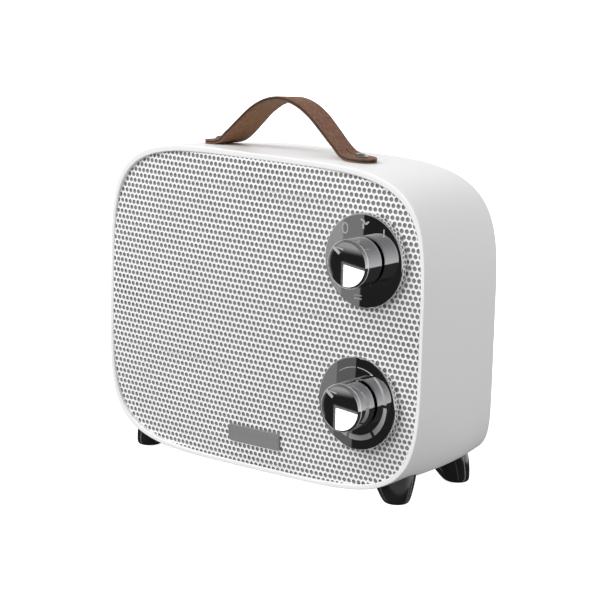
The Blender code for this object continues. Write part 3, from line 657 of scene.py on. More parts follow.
def brushed(name, colour, rough, metallic, along=(6.0, 900.0, 900.0), contrast=0.12):
    """A finely brushed surface: streaks along X in tone and gloss."""
    material = bpy.data.materials.new(name)
    material.use_nodes = True
    tree = material.node_tree
    shader = tree.nodes["Principled BSDF"]
    shader.inputs["Metallic"].default_value = metallic
    place = put(tree, "ShaderNodeTexCoord")
    drawn = put(tree, "ShaderNodeMapping", {"Vector": place.outputs["Object"], "Scale": along})
    streak = put(tree, "ShaderNodeTexNoise", {"Vector": drawn.outputs["Vector"], "Scale": 1.0,
                                              "Detail": 4.0})
    tone = put(tree, "ShaderNodeMix", {0: streak.outputs["Fac"],
                                       6: (*(c * (1 - contrast) for c in colour), 1),
                                       7: (*(c * (1 + contrast) for c in colour), 1)},
               data_type="RGBA")
    gloss = put(tree, "ShaderNodeMapRange", {"Value": streak.outputs["Fac"], "From Min": 0.3,
                                             "From Max": 0.7, "To Min": rough - 0.06,
                                             "To Max": rough + 0.06})
    tree.links.new(tone.outputs[2], shader.inputs["Base Color"])
    tree.links.new(gloss.outputs["Result"], shader.inputs["Roughness"])
    return material


badge_turn = Matrix.Rotation(math.atan(2 * CURVE_Z * (DOME_Z - BADGE_Z)), 3, "X")
badge_centre = (BADGE_X, dome_y(BADGE_X, BADGE_Z), BADGE_Z)
badge_rings = []
for height, inset in ((-0.3, 0.0), (-1.1, 0.0), (-1.3, 0.08), (-1.4, 0.3), (-1.4, 0.85),
                      (-1.28, 0.95)):
    outline = rounded_box_outline(BADGE_W / 2 - inset, BADGE_H / 2 - inset, 1.6 - inset * 0.6)
    badge_rings.append(tilted([(x, height, z) for x, z in outline], badge_turn, badge_centre))
badge = stacked("badge", badge_rings, brushed("grey_badge", (0.215, 0.215, 0.215), 0.42, 0.0))
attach(badge, "case")
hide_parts("badge_plate")


# ---- dial plates ------------------------------------------------------------------------------------
# Flat mirror-chrome discs behind the knobs. They stand square to the front, so their skirts are
# scribed to the dome and are deeper on the outer side.
def chrome(name, colour, rough):
    """Dark polished chrome with faint wiping marks in its gloss."""
    material = bpy.data.materials.new(name)
    material.use_nodes = True
    tree = material.node_tree
    shader = tree.nodes["Principled BSDF"]
    shader.inputs["Base Color"].default_value = (*colour, 1)
    shader.inputs["Metallic"].default_value = 1.0
    place = put(tree, "ShaderNodeTexCoord")
    wipe = put(tree, "ShaderNodeTexNoise", {"Vector": place.outputs["Object"], "Scale": 60.0,
                                            "Detail": 5.0})
    gloss = put(tree, "ShaderNodeMapRange", {"Value": wipe.outputs["Fac"], "From Min": 0.35,
                                             "From Max": 0.75, "To Min": rough,
                                             "To Max": rough + 0.02})
    tree.links.new(gloss.outputs["Result"], shader.inputs["Roughness"])
    return material


def lathe(name, profile, centre, material, sides=128, axis="-Y", sharp=28.0):
    """A turned piece from (radius, height) in mm; height runs outward along the axis."""
    rings = []
    for radius, height in profile:
        ring = []
        for k in range(sides):
            angle = 2 * math.pi * k / sides
            a, b = radius * math.cos(angle), radius * math.sin(angle)
            point = {"-Y": (a, -height, b), "+Y": (a, height, -b), "+Z": (a, b, height)}[axis]
            ring.append((Vector(point) + Vector(centre)) * MM)
        rings.append(ring)
    return stacked(name, rings, material, sharp)


PLATE_FACE = 2.3
dial_chrome = chrome("black_chrome", (0.70, 0.70, 0.71), 0.015)
scribe = stacked("scribe_block", [[Vector((x, dome_y(x, SHEET_CENTRE_Z + z) + y, SHEET_CENTRE_Z + z)) * MM
                                   for x, z in squarish(SHEET_HALF_WIDTH * share,
                                                        SHEET_HALF_HEIGHT * share, RIM_POWER, 120)]
                                  for y, share in ([(-0.3, k / 24) for k in range(1, 25)]
                                                   + [(30.0, k / 24) for k in range(24, 0, -1)])],
                 dial_chrome)
for dial, (x, z) in DIALS.items():
    blank = lathe(dial + "_plate_blank",
                  [(6.0, -8.0), (PLATE_R, -8.0), (PLATE_R, PLATE_FACE - 0.65),
                   (PLATE_R - 0.08, PLATE_FACE - 0.35), (PLATE_R - 0.3, PLATE_FACE - 0.1),
                   (PLATE_R - 0.6, PLATE_FACE), (PLATE_R - 0.75, PLATE_FACE), (6.0, PLATE_FACE),
                   (6.0, -8.0)],
                  (x, DIAL_SEAT_Y, z), dial_chrome, 160)
    net = bmesh.new()
    net.from_mesh(blank.data)
    for face in [f for f in net.faces if len(f.verts) > 4]:
        net.faces.remove(face)
    bmesh.ops.remove_doubles(net, verts=net.verts, dist=1e-7)
    bmesh.ops.recalc_face_normals(net, faces=net.faces)
    net.to_mesh(blank.data)
    net.free()
    trim = blank.modifiers.new("scribe", "BOOLEAN")
    trim.operation, trim.solver, trim.object = "DIFFERENCE", "MANIFOLD", scribe
    plate = plain(dial + "_plate", blank, 28.0)
    plate.data.materials.clear()
    plate.data.materials.append(dial_chrome)
    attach(plate, "case")
    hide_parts(dial + "_escutcheon")
bpy.data.objects.remove(scribe, do_unlink=True)


# ---- dial marks ---------------------------------------------------------------------------------------
# Pad-printed pale grey marks: off, fan, one bar and two bars round the upper dial, and a scale
# that widens clockwise round the lower one.
def ink(name, colour):
    return moulded_plastic(name, colour, 0.5, grain=0.02, spread=0.05)


def flat_marks(name, shapes, centre, lift, material, body):
    """Thin printed shapes on a plane that faces the front; each is an outline in XZ round the dial."""
    net = bmesh.new()
    for outline in shapes:
        rows = []
        for level in (lift, lift + 0.05):
            rows.append([net.verts.new(((centre[0] + a) * MM, (DIAL_SEAT_Y - level) * MM,
                                        (centre[1] + b) * MM)) for a, b in outline])
        net.faces.new(rows[0])
        net.faces.new(rows[1][::-1])
        for k in range(len(outline)):
            m = (k + 1) % len(outline)
            net.faces.new((rows[0][k], rows[1][k], rows[1][m], rows[0][m]))
    bmesh.ops.recalc_face_normals(net, faces=net.faces)
    mesh = bpy.data.meshes.new(name)
    net.to_mesh(mesh)
    net.free()
    mesh.materials.append(material)
    piece = bpy.data.objects.new(name, mesh)
    bpy.context.scene.collection.objects.link(piece)
    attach(piece, body)
    return piece


def clock(radius, degrees):
    """A point on the dial at an angle clockwise from the top."""
    return (radius * math.sin(math.radians(degrees)), radius * math.cos(math.radians(degrees)))


def ribbon(points, widths):
    """The outline of a stroke along points, with a width at each."""
    left, right = [], []
    for k, (here, width) in enumerate(zip(points, widths)):
        before, after = points[max(k - 1, 0)], points[min(k + 1, len(points) - 1)]
        run = Vector((after[0] - before[0], after[1] - before[1])).normalized()
        side = Vector((-run.y, run.x)) * width / 2
        left.append((here[0] + side.x, here[1] + side.y))
        right.append((here[0] - side.x, here[1] - side.y))
    return left + right[::-1]


pale_ink = ink("pale_ink", (0.36, 0.36, 0.36))
marks = []
zero = clock(23.0, -37.6)
ring = [(zero[0] + 1.95 * math.cos(t * math.pi / 24), zero[1] + 3.1 * math.sin(t * math.pi / 24))
        for t in range(49)]
for first in (0, 24):
    marks.append(ribbon(ring[first:first + 25], [0.75] * 25))
fan = clock(22.7, 0)
for turn in (100, 220, 340):
    arm = []
    for k in range(9):
        angle = math.radians(turn + 60 * math.sin(k / 8 * math.pi / 2) - 20)
        reach = 3.6 * k / 8
        arm.append((fan[0] + reach * math.cos(angle), fan[1] + reach * math.sin(angle)))
    marks.append(ribbon(arm, [0.75 + 0.6 * math.sin(k / 8 * math.pi) for k in range(9)]))
bar = clock(23.3, 38)
marks.append(ribbon([(bar[0], bar[1] - 2.3), (bar[0], bar[1] + 2.3)], [0.9, 0.9]))
pair = clock(22.3, 188)
for drop in (-0.75, 0.75):
    marks.append(ribbon([(pair[0] - 2.8, pair[1] + drop * 1.35), (pair[0] + 2.8, pair[1] + drop * 1.35)],
                        [0.8, 0.8]))
flat_marks("power_marks", marks, DIALS["power"], PLATE_FACE + 0.005, pale_ink, "case")

segments = []
for start, end in ((-36, -3), (0, 31), (35, 83), (88, 140), (146, 193), (197, 218)):
    outer, inner = [], []
    for k in range(17):
        angle = start + (end - start) * k / 16
        growth = min(max((angle + 36) / 140, 0.0), 1.0)
        width = 0.35 + 0.55 * growth if angle < 33 else 1.2 + 2.0 * min((angle - 35) / 90, 1.0)
        outer.append(clock(22.5, angle))
        inner.append(clock(22.5 - width, angle))
    segments.append(outer + inner[::-1])
flat_marks("thermostat_scale", segments, DIALS["thermostat"], PLATE_FACE + 0.005, pale_ink, "case")


# ---- knobs -----------------------------------------------------------------------------------------
# Turned knobs in the same dark chrome, with a flat face and a narrow bright bevel. A pale arrow
# is filled into the face at the pointer.
KNOB_R, KNOB_FACE_R, KNOB_BASE, KNOB_TOP = 14.8, 13.65, 3.8, 18.9
knob_black = moulded_plastic("knob_core", (0.02, 0.02, 0.02), 0.45)
pointer_ink = ink("pointer_ink", (0.42, 0.42, 0.42))
for dial, (x, z) in DIALS.items():
    profile = ([(KNOB_R - 2.2, KNOB_BASE + 1.2), (KNOB_R - 2.2, KNOB_BASE), (KNOB_R - 0.35, KNOB_BASE),
                (KNOB_R - 0.1, KNOB_BASE + 0.1), (KNOB_R, KNOB_BASE + 0.35)]
               + [(KNOB_R, KNOB_BASE + 0.35 + k * 13.4 / 8) for k in range(1, 9)]
               + [(KNOB_R - 0.06, KNOB_TOP - 1.15), (KNOB_R - 0.2, KNOB_TOP - 0.9),
                  (KNOB_FACE_R + 0.15, KNOB_TOP - 0.12), (KNOB_FACE_R, KNOB_TOP - 0.02),
                  (KNOB_FACE_R - 0.15, KNOB_TOP), (KNOB_FACE_R - 0.3, KNOB_TOP)])
    knob = lathe(dial + "_knob_body", profile, (x, DIAL_SEAT_Y, z), dial_chrome, 160, sharp=24.0)
    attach(knob, dial + "_dial")
    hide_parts(dial + "_knob")
    core = lathe(dial + "_knob_core", [(3.4, PLATE_FACE - 1.8), (KNOB_R - 2.6, PLATE_FACE + 0.25),
                                       (KNOB_R - 2.6, KNOB_BASE + 1.1), (3.4, KNOB_BASE + 1.1)],
                 (x, DIAL_SEAT_Y, z), knob_black, 96)
    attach(core, dial + "_dial")
    tip, tail = clock(KNOB_FACE_R - 0.1, -47), clock(KNOB_FACE_R - 5.6, -42)
    barb_start, barb_end = clock(KNOB_FACE_R - 0.9, -41), clock(KNOB_FACE_R - 4.6, -17)
    arrow = [ribbon([tip, tail], [1.9, 1.9]), ribbon([barb_start, barb_end], [0.35, 0.9])]
    flat_marks(dial + "_pointer", arrow, DIALS[dial], KNOB_TOP + 0.005, pointer_ink, dial + "_dial")


# ---- strap handle ----------------------------------------------------------------------------------------
# Two leather layers glued back to back and held down by a stud at each end. The outer layer is
# grained, the lining is smoother and yellower; both have dark burnished edges.
STRAP_Y, STRAP_WIDTH, LAYER, SEAM = RIM_Y + 27.4, 22.0, 0.95, 0.75
STRAP_END_X, STRAP_CORNER, STUD_X = 64.2, 9.5, 55.1
ARCH = ((0, 235.35), (11, 233.0), (21, 227.0), (30, 218.6), (37.5, 211.2), (43.5, 206.6))


def case_top(x, depth, inset=0.0):
    """Height of the case's top at x and at a depth behind the rim."""
    share = min(max(depth / CASE_DEPTH, 0.0), 1.0) ** TAPER_POWER
    half = RIM_HALF_WIDTH + (BACK_HALF_WIDTH - RIM_HALF_WIDTH) * share - inset
    top = RIM_TOP_Z + (BACK_TOP_Z - RIM_TOP_Z) * share - inset
    bottom = RIM_BOTTOM_Z + (BACK_BOTTOM_Z - RIM_BOTTOM_Z) * share + inset
    power = RIM_POWER + (BACK_POWER_TOP - RIM_POWER) * share
    return (top + bottom) / 2 + (top - bottom) / 2 * (1 - abs(x / half) ** power) ** (1 / power)


strap_depth = STRAP_Y - RIM_Y
strap_slope = (case_top(0, strap_depth + 10) - case_top(0, strap_depth - 10)) / 20


def tab_height(x):
    return case_top(x, strap_depth) + 0.06 + LAYER + SEAM / 2


def strap_height(x):
    """Height of the middle of the strap's thickness: a smooth arch that runs into flat tabs."""
    x = abs(x)
    if x >= 53.5:
        return tab_height(x)
    knots = [(-ARCH[1][0], ARCH[1][1])] + list(ARCH) + [(49.0, tab_height(49.0) + 0.6),
                                                        (53.5, tab_height(53.5)),
                                                        (58, tab_height(58))]
    k = max(i for i in range(1, len(knots) - 2) if knots[i][0] <= x + 1e-9)
    (x0, z0), (x1, z1), (x2, z2), (x3, z3) = knots[k - 1:k + 3]
    u = (x - x1) / (x2 - x1)
    m1 = (z2 - z0) / (x2 - x0) * (x2 - x1)
    m2 = (z3 - z1) / (x3 - x1) * (x2 - x1)
    return ((2 * u ** 3 - 3 * u ** 2 + 1) * z1 + (u ** 3 - 2 * u ** 2 + u) * m1
            + (3 * u ** 2 - 2 * u ** 3) * z2 + (u ** 3 - u ** 2) * m2)


def leather(name, dark, middle, light, grain_scale, grain_depth, rough):
    """Leather: pebbled grain, mottled colour and a dry sheen on the raised grain."""
    material = bpy.data.materials.new(name)
    material.use_nodes = True
    tree = material.node_tree
    shader = tree.nodes["Principled BSDF"]
    shader.inputs["Specular IOR Level"].default_value = 0.25
    place = put(tree, "ShaderNodeTexCoord")
    mottle = put(tree, "ShaderNodeTexNoise", {"Vector": place.outputs["Object"], "Scale": 420.0,
                                              "Detail": 6.0, "Roughness": 0.7})
    pebble = put(tree, "ShaderNodeTexVoronoi", {"Vector": place.outputs["Object"],
                                                "Scale": grain_scale}, feature="SMOOTH_F1")
    fibre = put(tree, "ShaderNodeTexNoise", {"Vector": place.outputs["Object"],
                                             "Scale": grain_scale * 2.2, "Detail": 4.0})
    ramp = put(tree, "ShaderNodeValToRGB", {0: mottle.outputs["Fac"]})
    ramp.color_ramp.elements[0].position, ramp.color_ramp.elements[0].color = 0.34, (*dark, 1)
    ramp.color_ramp.elements[1].position, ramp.color_ramp.elements[1].color = 0.68, (*light, 1)
    ramp.color_ramp.elements.new(0.5).color = (*middle, 1)
    valley = put(tree, "ShaderNodeMapRange", {"Value": pebble.outputs["Distance"], "From Min": 0.1,
                                              "From Max": 0.65, "To Min": 1.08, "To Max": 0.72})
    shaded = put(tree, "ShaderNodeMix", {0: 1.0, 6: ramp.outputs[0], 7: valley.outputs[0]},
                 data_type="RGBA", blend_type="MULTIPLY")
    relief = calc(tree, "MULTIPLY_ADD", fibre.outputs["Fac"], 0.5,
                  calc(tree, "SUBTRACT", 1.0, pebble.outputs["Distance"]))
    skin = put(tree, "ShaderNodeBump", {"Strength": 0.7, "Distance": grain_depth, "Height": relief})
    gloss = put(tree, "ShaderNodeMapRange", {"Value": mottle.outputs["Fac"], "From Min": 0.3,
                                             "From Max": 0.7, "To Min": rough - 0.06,
                                             "To Max": rough + 0.08})
    tree.links.new(shaded.outputs[2], shader.inputs["Base Color"])
    tree.links.new(gloss.outputs["Result"], shader.inputs["Roughness"])
    tree.links.new(skin.outputs["Normal"], shader.inputs["Normal"])
    return material


STRAP_FLARE = 0.085


def strap_point(x, side, offset):
    """A point of the strap: along it, across it, and off the middle of its thickness. The arch is
    a little wider and higher at the front edge than at the back edge."""
    forward = (1 - 2 * side / STRAP_WIDTH) / 2
    ease = min(max((52.0 - abs(x)) / 14.0, 0.0), 1.0)
    flare = forward * ease * ease * (3 - 2 * ease)
    run = Vector((1.0, strap_height(x + 0.5) - strap_height(x - 0.5)))
    normal = Vector((-run.y, run.x)).normalized()
    return Vector((x * (1 + STRAP_FLARE * flare) + normal.x * offset, STRAP_Y + side,
                   strap_height(x) + flare + normal.y * offset + strap_slope * side))


def strap_layer(name, low, high, material, edge_material, body_node):
    """One leather layer with rounded edges and ends, slit open beside each stud."""
    corner, round_over, stations = STRAP_CORNER, 0.34, []
    for k in range(17):
        stations.append(STRAP_END_X - corner * (1 - math.cos(math.pi / 2 * k / 16)))
    flat_run = STRAP_END_X - corner
    stations += [flat_run - flat_run * k / 64 for k in range(1, 65)]
    stations = stations + [-x for x in stations[-2::-1]]
    across = [-1 + 2 * k / 10 for k in range(11)]
    rings = []
    for x in stations:
        inward = corner - min(corner, STRAP_END_X - abs(x))
        half = STRAP_WIDTH / 2 - (corner - math.sqrt(max(corner ** 2 - inward ** 2, 0)))
        at_end = max(0.0, 1 - (STRAP_END_X - abs(x)) / round_over)
        ease = round_over * (1 - math.sqrt(max(1 - at_end ** 2, 0)))
        thin_low, thin_high = low + ease, high - ease
        section = ([(s * (half - round_over), thin_low) for s in across]
                   + [(half - round_over + a, (thin_low + round_over) + b) for a, b in
                      [(round_over * math.sin(t * math.pi / 8), -round_over * math.cos(t * math.pi / 8))
                       for t in (1, 2, 3, 4)]]
                   + [(half - round_over + a, (thin_high - round_over) + b) for a, b in
                      [(round_over * math.cos(t * math.pi / 8), round_over * math.sin(t * math.pi / 8))
                       for t in (0, 1, 2, 3)]]
                   + [(-s * (half - round_over), thin_high) for s in across]
                   + [(-(half - round_over) - a, (thin_high - round_over) + b) for a, b in
                      [(round_over * math.sin(t * math.pi / 8), round_over * math.cos(t * math.pi / 8))
                       for t in (1, 2, 3, 4)]]
                   + [(-(half - round_over) - a, (thin_low + round_over) + b) for a, b in
                      [(round_over * math.cos(t * math.pi / 8), -round_over * math.sin(t * math.pi / 8))
                       for t in (0, 1, 2, 3)]])
        rings.append([strap_point(x, side, offset) * MM for side, offset in section])
    blank = stacked(name + "_blank", rings, material, 50.0)
    blank.data.materials.append(edge_material)
    cutters = []
    for sign in (-1, 1):
        stud_hole = lathe("stud_hole", [(2.1, 180), (2.1, 225)], (sign * STUD_X, STRAP_Y, 0),
                          edge_material, 24, "+Z")
        reach = sorted((sign * (STUD_X - 11.5), sign * (STUD_X - 1)))
        slit_points = [(reach[0], STRAP_Y - 0.65), (reach[1], STRAP_Y - 0.65),
                       (reach[1], STRAP_Y + 0.65), (reach[0], STRAP_Y + 0.65)]
        slit = stacked("slit", [[Vector((a, b, 190)) * MM for a, b in slit_points],
                                [Vector((a, b, 225)) * MM for a, b in slit_points]], edge_material)
        for cutter in (stud_hole, slit):
            cut = blank.modifiers.new(cutter.name, "BOOLEAN")
            cut.operation, cut.solver, cut.object = "DIFFERENCE", "MANIFOLD", cutter
            cutters.append(cutter)
    layer = plain(name, blank, 50.0)
    for cutter in cutters:
        bpy.data.objects.remove(cutter, do_unlink=True)
    layer.data.materials.clear()
    layer.data.materials.append(material)
    layer.data.materials.append(edge_material)
    for face in layer.data.polygons:
        across_face = abs(face.normal.y) > 0.55 or (abs(face.center.x) > (STRAP_END_X - 9) * MM
                                                    and abs(face.normal.z) < 0.75)
        face.material_index = 1 if across_face else 0
    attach(layer, "case")
    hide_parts(body_node)
    return layer


grain_leather = leather("grain_leather", (0.140, 0.060, 0.032), (0.225, 0.100, 0.054),
                        (0.330, 0.158, 0.092), 1300.0, 0.0003, 0.6)
lining_leather = leather("lining_leather", (0.200, 0.098, 0.047), (0.265, 0.134, 0.066),
                         (0.330, 0.172, 0.090), 2200.0, 0.00012, 0.66)
burnished_edge = leather("burnished_edge", (0.110, 0.055, 0.032), (0.160, 0.082, 0.048),
                         (0.220, 0.115, 0.068), 3200.0, 0.00006, 0.5)
strap_layer("strap_top", SEAM / 2, SEAM / 2 + LAYER, grain_leather, burnished_edge, "strap_outer")
strap_layer("strap_under", -SEAM / 2 - LAYER, -SEAM / 2, lining_leather, burnished_edge, "strap_lining")
seam_rings = []
for k in range(129):
    x = -62.4 + 124.8 * k / 128
    inward = STRAP_CORNER - min(STRAP_CORNER, STRAP_END_X - abs(x))
    half = STRAP_WIDTH / 2 - (STRAP_CORNER - math.sqrt(STRAP_CORNER ** 2 - inward ** 2)) - 0.3
    seam_rings.append([strap_point(x, side * half, level) * MM
                       for side, level in ((-1, -0.4), (1, -0.4), (1, 0.4), (-1, 0.4))])
seam_glue = stacked("strap_glue_line", seam_rings, moulded_plastic("dark_glue", (0.016, 0.010, 0.008), 0.7))
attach(seam_glue, "case")


# ---- strap studs -----------------------------------------------------------------------------------
# Polished nickel studs with a domed head on a flat collar; they screw down through the leather.
polished_nickel = chrome("polished_nickel", (0.40, 0.385, 0.35), 0.05)
seat = tab_height(STUD_X) + SEAM / 2 + LAYER
for side, sign in (("left", -1), ("right", 1)):
    head = [(2.0, seat - 2.3), (2.0, seat + 0.01), (4.45, seat + 0.01), (4.65, seat + 0.12),
            (4.7, seat + 0.3), (4.6, seat + 0.48), (4.35, seat + 0.6), (4.0, seat + 0.62)]
    head += [(3.6 * math.cos(a * math.pi / 24), seat + 0.62 + 1.75 * math.sin(a * math.pi / 24))
             for a in range(0, 12)] + [(0.12, seat + 2.37)]
    stud = lathe(f"stud_{side}", head, (sign * STUD_X, STRAP_Y, 0), polished_nickel, 64, "+Z", 40.0)
    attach(stud, "case")
    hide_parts(f"strap_stud_{side}")


# ---- feet ------------------------------------------------------------------------------------------
# Four glossy black moulded cones, splayed outwards and scribed to the underside of the case, with
# a softly rounded tread.
FOOT_X, FOOT_DEPTHS, FOOT_SPLAY_X, FOOT_SPLAY_Y = 100.1, {"front": 13.1, "rear": 78.8}, 7.0, 5.2
FOOT_PROFILE = ((0.0, 5.2), (0.08, 6.0), (0.35, 6.9), (0.85, 7.7), (1.6, 8.35), (2.8, 9.05), (4.6, 9.9),
                (7.0, 10.9), (10.0, 12.0), (13.0, 13.0), (16.0, 13.8), (20.0, 14.7), (24.0, 15.4),
                (30.0, 16.2))


def case_section(depth, inset, count=160):
    share = min(max(depth / CASE_DEPTH, 0.0), 1.0) ** TAPER_POWER
    half = RIM_HALF_WIDTH + (BACK_HALF_WIDTH - RIM_HALF_WIDTH) * share - inset
    top = RIM_TOP_Z + (BACK_TOP_Z - RIM_TOP_Z) * share - inset
    bottom = RIM_BOTTOM_Z + (BACK_BOTTOM_Z - RIM_BOTTOM_Z) * share + inset
    power_top = RIM_POWER + (BACK_POWER_TOP - RIM_POWER) * share
    power_bottom = RIM_POWER + (BACK_POWER_BOTTOM - RIM_POWER) * share
    points = []
    for k in range(count):
        angle = 2 * math.pi * (k + 0.5) / count
        c, s = math.cos(angle), math.sin(angle)
        power = power_top if s > 0 else power_bottom
        points.append(Vector((half * math.copysign(abs(c) ** (2 / power), c), RIM_Y + depth,
                              (top + bottom) / 2 + (top - bottom) / 2
                              * math.copysign(abs(s) ** (2 / power), s))) * MM)
    return points


black_gloss = moulded_plastic("black_gloss", (0.014, 0.014, 0.014), 0.10, grain=0.01)
for side, sign in (("left", -1), ("right", 1)):
    for end, depth in FOOT_DEPTHS.items():
        toward = 1 if end == "front" else -1
        rings = []
        for height, radius in FOOT_PROFILE:
            lean = height / 20
            cx = sign * (FOOT_X - FOOT_SPLAY_X * lean)
            cy = RIM_Y + depth + toward * FOOT_SPLAY_Y * lean
            rings.append([Vector((cx + radius * math.cos(2 * math.pi * k / 96),
                                  cy + radius * math.sin(2 * math.pi * k / 96), height)) * MM
                          for k in range(96)])
        blank = stacked("foot_blank", rings, black_gloss, 40.0)
        shell = stacked("case_block", [case_section(d, -0.12) for d in
                                       (-6, 0, 8, 16, 24, 32, 40, 48, 56, 64, 72, 80, 88, 96)],
                        black_gloss)
        trim = blank.modifiers.new("scribe", "BOOLEAN")
        trim.operation, trim.solver, trim.object = "DIFFERENCE", "MANIFOLD", shell
        foot = plain(f"foot_{end}_{side}_moulding", blank, 40.0)
        bpy.data.objects.remove(shell, do_unlink=True)
        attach(foot, "case")
        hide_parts(f"foot_{end}_{side}")


# ---- rear cover ------------------------------------------------------------------------------------
# A flat white moulding let into the back of the case, with a round field of louvre slots in front
# of the fan.
COVER_FRONT, COVER_BACK, COVER_INSET = 83.7, 86.7, 3.35
HEATER_X, HEATER_Z = -33.0, 105.0
SLOT_CUT_DEPTH = 12.0


def louvre_rule():
    """Cuts two columns of slots, with round ends, inside a circle on a flat cover."""
    tree, given = shaping_tree("louvres", {"Pitch": 8.0, "Slot Height": 3.6, "Field Radius": 49.0,
                                           "Rows": 11.0, "Rib": 2.0, "Centre X": HEATER_X,
                                           "Centre Z": HEATER_Z, "Depth Y": RIM_Y + 85.0})
    rows = calc(tree, "ROUND", given["Rows"])
    span = calc(tree, "MULTIPLY", calc(tree, "SUBTRACT", rows, 1.0), given["Pitch"])
    half_span = calc(tree, "MULTIPLY", span, 0.5)
    line = put(tree, "GeometryNodeMeshLine", {
        "Count": rows,
        "Start Location": put(tree, "ShaderNodeCombineXYZ",
                              {2: calc(tree, "MULTIPLY", half_span, -1.0)}).outputs[0],
        "Offset": put(tree, "ShaderNodeCombineXYZ", {2: given["Pitch"]}).outputs[0]})
    part = put(tree, "ShaderNodeSeparateXYZ",
               {0: put(tree, "GeometryNodeInputPosition").outputs[0]}).outputs
    reach = calc(tree, "SQRT", calc(tree, "SUBTRACT",
                                    calc(tree, "MULTIPLY", given["Field Radius"], given["Field Radius"]),
                                    calc(tree, "MULTIPLY", part["Z"], part["Z"])))
    half_height = calc(tree, "MULTIPLY", given["Slot Height"], 0.5)
    inner = calc(tree, "ADD", given["Rib"], half_height)
    outer = calc(tree, "SUBTRACT", reach, half_height)
    block = put(tree, "GeometryNodeMeshCube", {"Size": (1.0, 1.0, 1.0)})
    end = put(tree, "GeometryNodeMeshCylinder", {"Vertices": 20, "Radius": half_height,
                                                 "Depth": SLOT_CUT_DEPTH})
    cover = given["Shape"]
    for sign in (-1.0, 1.0):
        middle = calc(tree, "MULTIPLY", calc(tree, "ADD", inner, outer), 0.5 * sign)
        for kind, at in (("block", middle), ("end", calc(tree, "MULTIPLY", inner, sign)),
                         ("end", calc(tree, "MULTIPLY", outer, sign))):
            spot = put(tree, "ShaderNodeCombineXYZ", {
                0: calc(tree, "ADD", at, given["Centre X"]), 1: given["Depth Y"],
                2: given["Centre Z"]})
            points = put(tree, "GeometryNodeSetPosition", {"Geometry": line.outputs[0],
                                                           "Offset": spot.outputs[0]})
            links = {"Points": points.outputs[0],
                     "Instance": (block if kind == "block" else end).outputs[0]}
            if kind == "block":
                part_here = put(tree, "ShaderNodeSeparateXYZ",
                                {0: put(tree, "GeometryNodeInputPosition").outputs[0]}).outputs
                up = calc(tree, "SUBTRACT", part_here["Z"], given["Centre Z"])
                here = calc(tree, "SQRT", calc(tree, "SUBTRACT",
                                               calc(tree, "MULTIPLY", given["Field Radius"],
                                                    given["Field Radius"]),
                                               calc(tree, "MULTIPLY", up, up)))
                long = calc(tree, "SUBTRACT", calc(tree, "SUBTRACT", here, given["Rib"]),
                            given["Slot Height"])
                links["Scale"] = put(tree, "ShaderNodeCombineXYZ",
                                     {0: long, 1: SLOT_CUT_DEPTH,
                                      2: given["Slot Height"]}).outputs[0]
            else:
                links["Rotation"] = (math.pi / 2, 0.0, 0.0)
            cutter = put(tree, "GeometryNodeInstanceOnPoints", links)
            loose = put(tree, "GeometryNodeRealizeInstances", {"Geometry": cutter.outputs[0]})
            small = put(tree, "GeometryNodeTransform", {"Geometry": loose.outputs[0],
                                                        "Scale": (MM, MM, MM)})
            cover = put(tree, "GeometryNodeMeshBoolean", {"Mesh 1": cover,
                                                          "Mesh 2": small.outputs[0]},
                        operation="DIFFERENCE", solver="MANIFOLD").outputs["Mesh"]
    close_tree(tree, cover, given["Finish"])
    return tree


cover_profile = [(COVER_FRONT, COVER_INSET), (COVER_BACK - 0.5, COVER_INSET),
                 (COVER_BACK - 0.15, COVER_INSET + 0.15), (COVER_BACK, COVER_INSET + 0.5)]
cover_blank = shaped("cover_plain", turn_sheet("cover_sheet", cover_profile, 240, closed=False),
                     case_outline, white_plastic)
net = bmesh.new()
net.from_mesh(cover_blank.data)
bmesh.ops.recalc_face_normals(net, faces=net.faces)
net.to_mesh(cover_blank.data)
net.free()
cover_mesh = cover_blank.data
bpy.data.objects.remove(cover_blank, do_unlink=True)
cover = shaped("back_cover", cover_mesh, louvre_rule(), white_plastic)
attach(cover, "case")
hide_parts("rear_cover")


# ---- cord gland and cover screws ---------------------------------------------------------------------
# A black bush where the mains lead would come out, and four pan-head screws with cross recesses.
GLAND_X, GLAND_Z = 78.0, 34.0
black_plastic = moulded_plastic("black_plastic", (0.022, 0.022, 0.022), 0.5)
gland = lathe("gland", [(3.6, 79.0), (6.0, 79.0), (6.0, 86.9), (7.6, 86.9), (8.1, 87.0), (8.2, 87.2),
                        (8.0, 87.6), (7.4, 87.85), (4.2, 87.9), (3.7, 87.8), (3.6, 87.5)],
              (GLAND_X, RIM_Y, GLAND_Z), black_plastic, 72, "+Y", 35.0)
net = bmesh.new()
net.from_mesh(gland.data)
for face in [f for f in net.faces if len(f.verts) > 4]:
    net.faces.remove(face)
rim_edges = [e for e in net.edges if len(e.link_faces) == 1]
bmesh.ops.bridge_loops(net, edges=rim_edges)
bmesh.ops.recalc_face_normals(net, faces=net.faces)
net.to_mesh(gland.data)
net.free()
gland.data.shade_smooth()
gland.data.set_sharp_from_angle(angle=math.radians(35))
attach(gland, "case")
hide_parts("cord_gland")


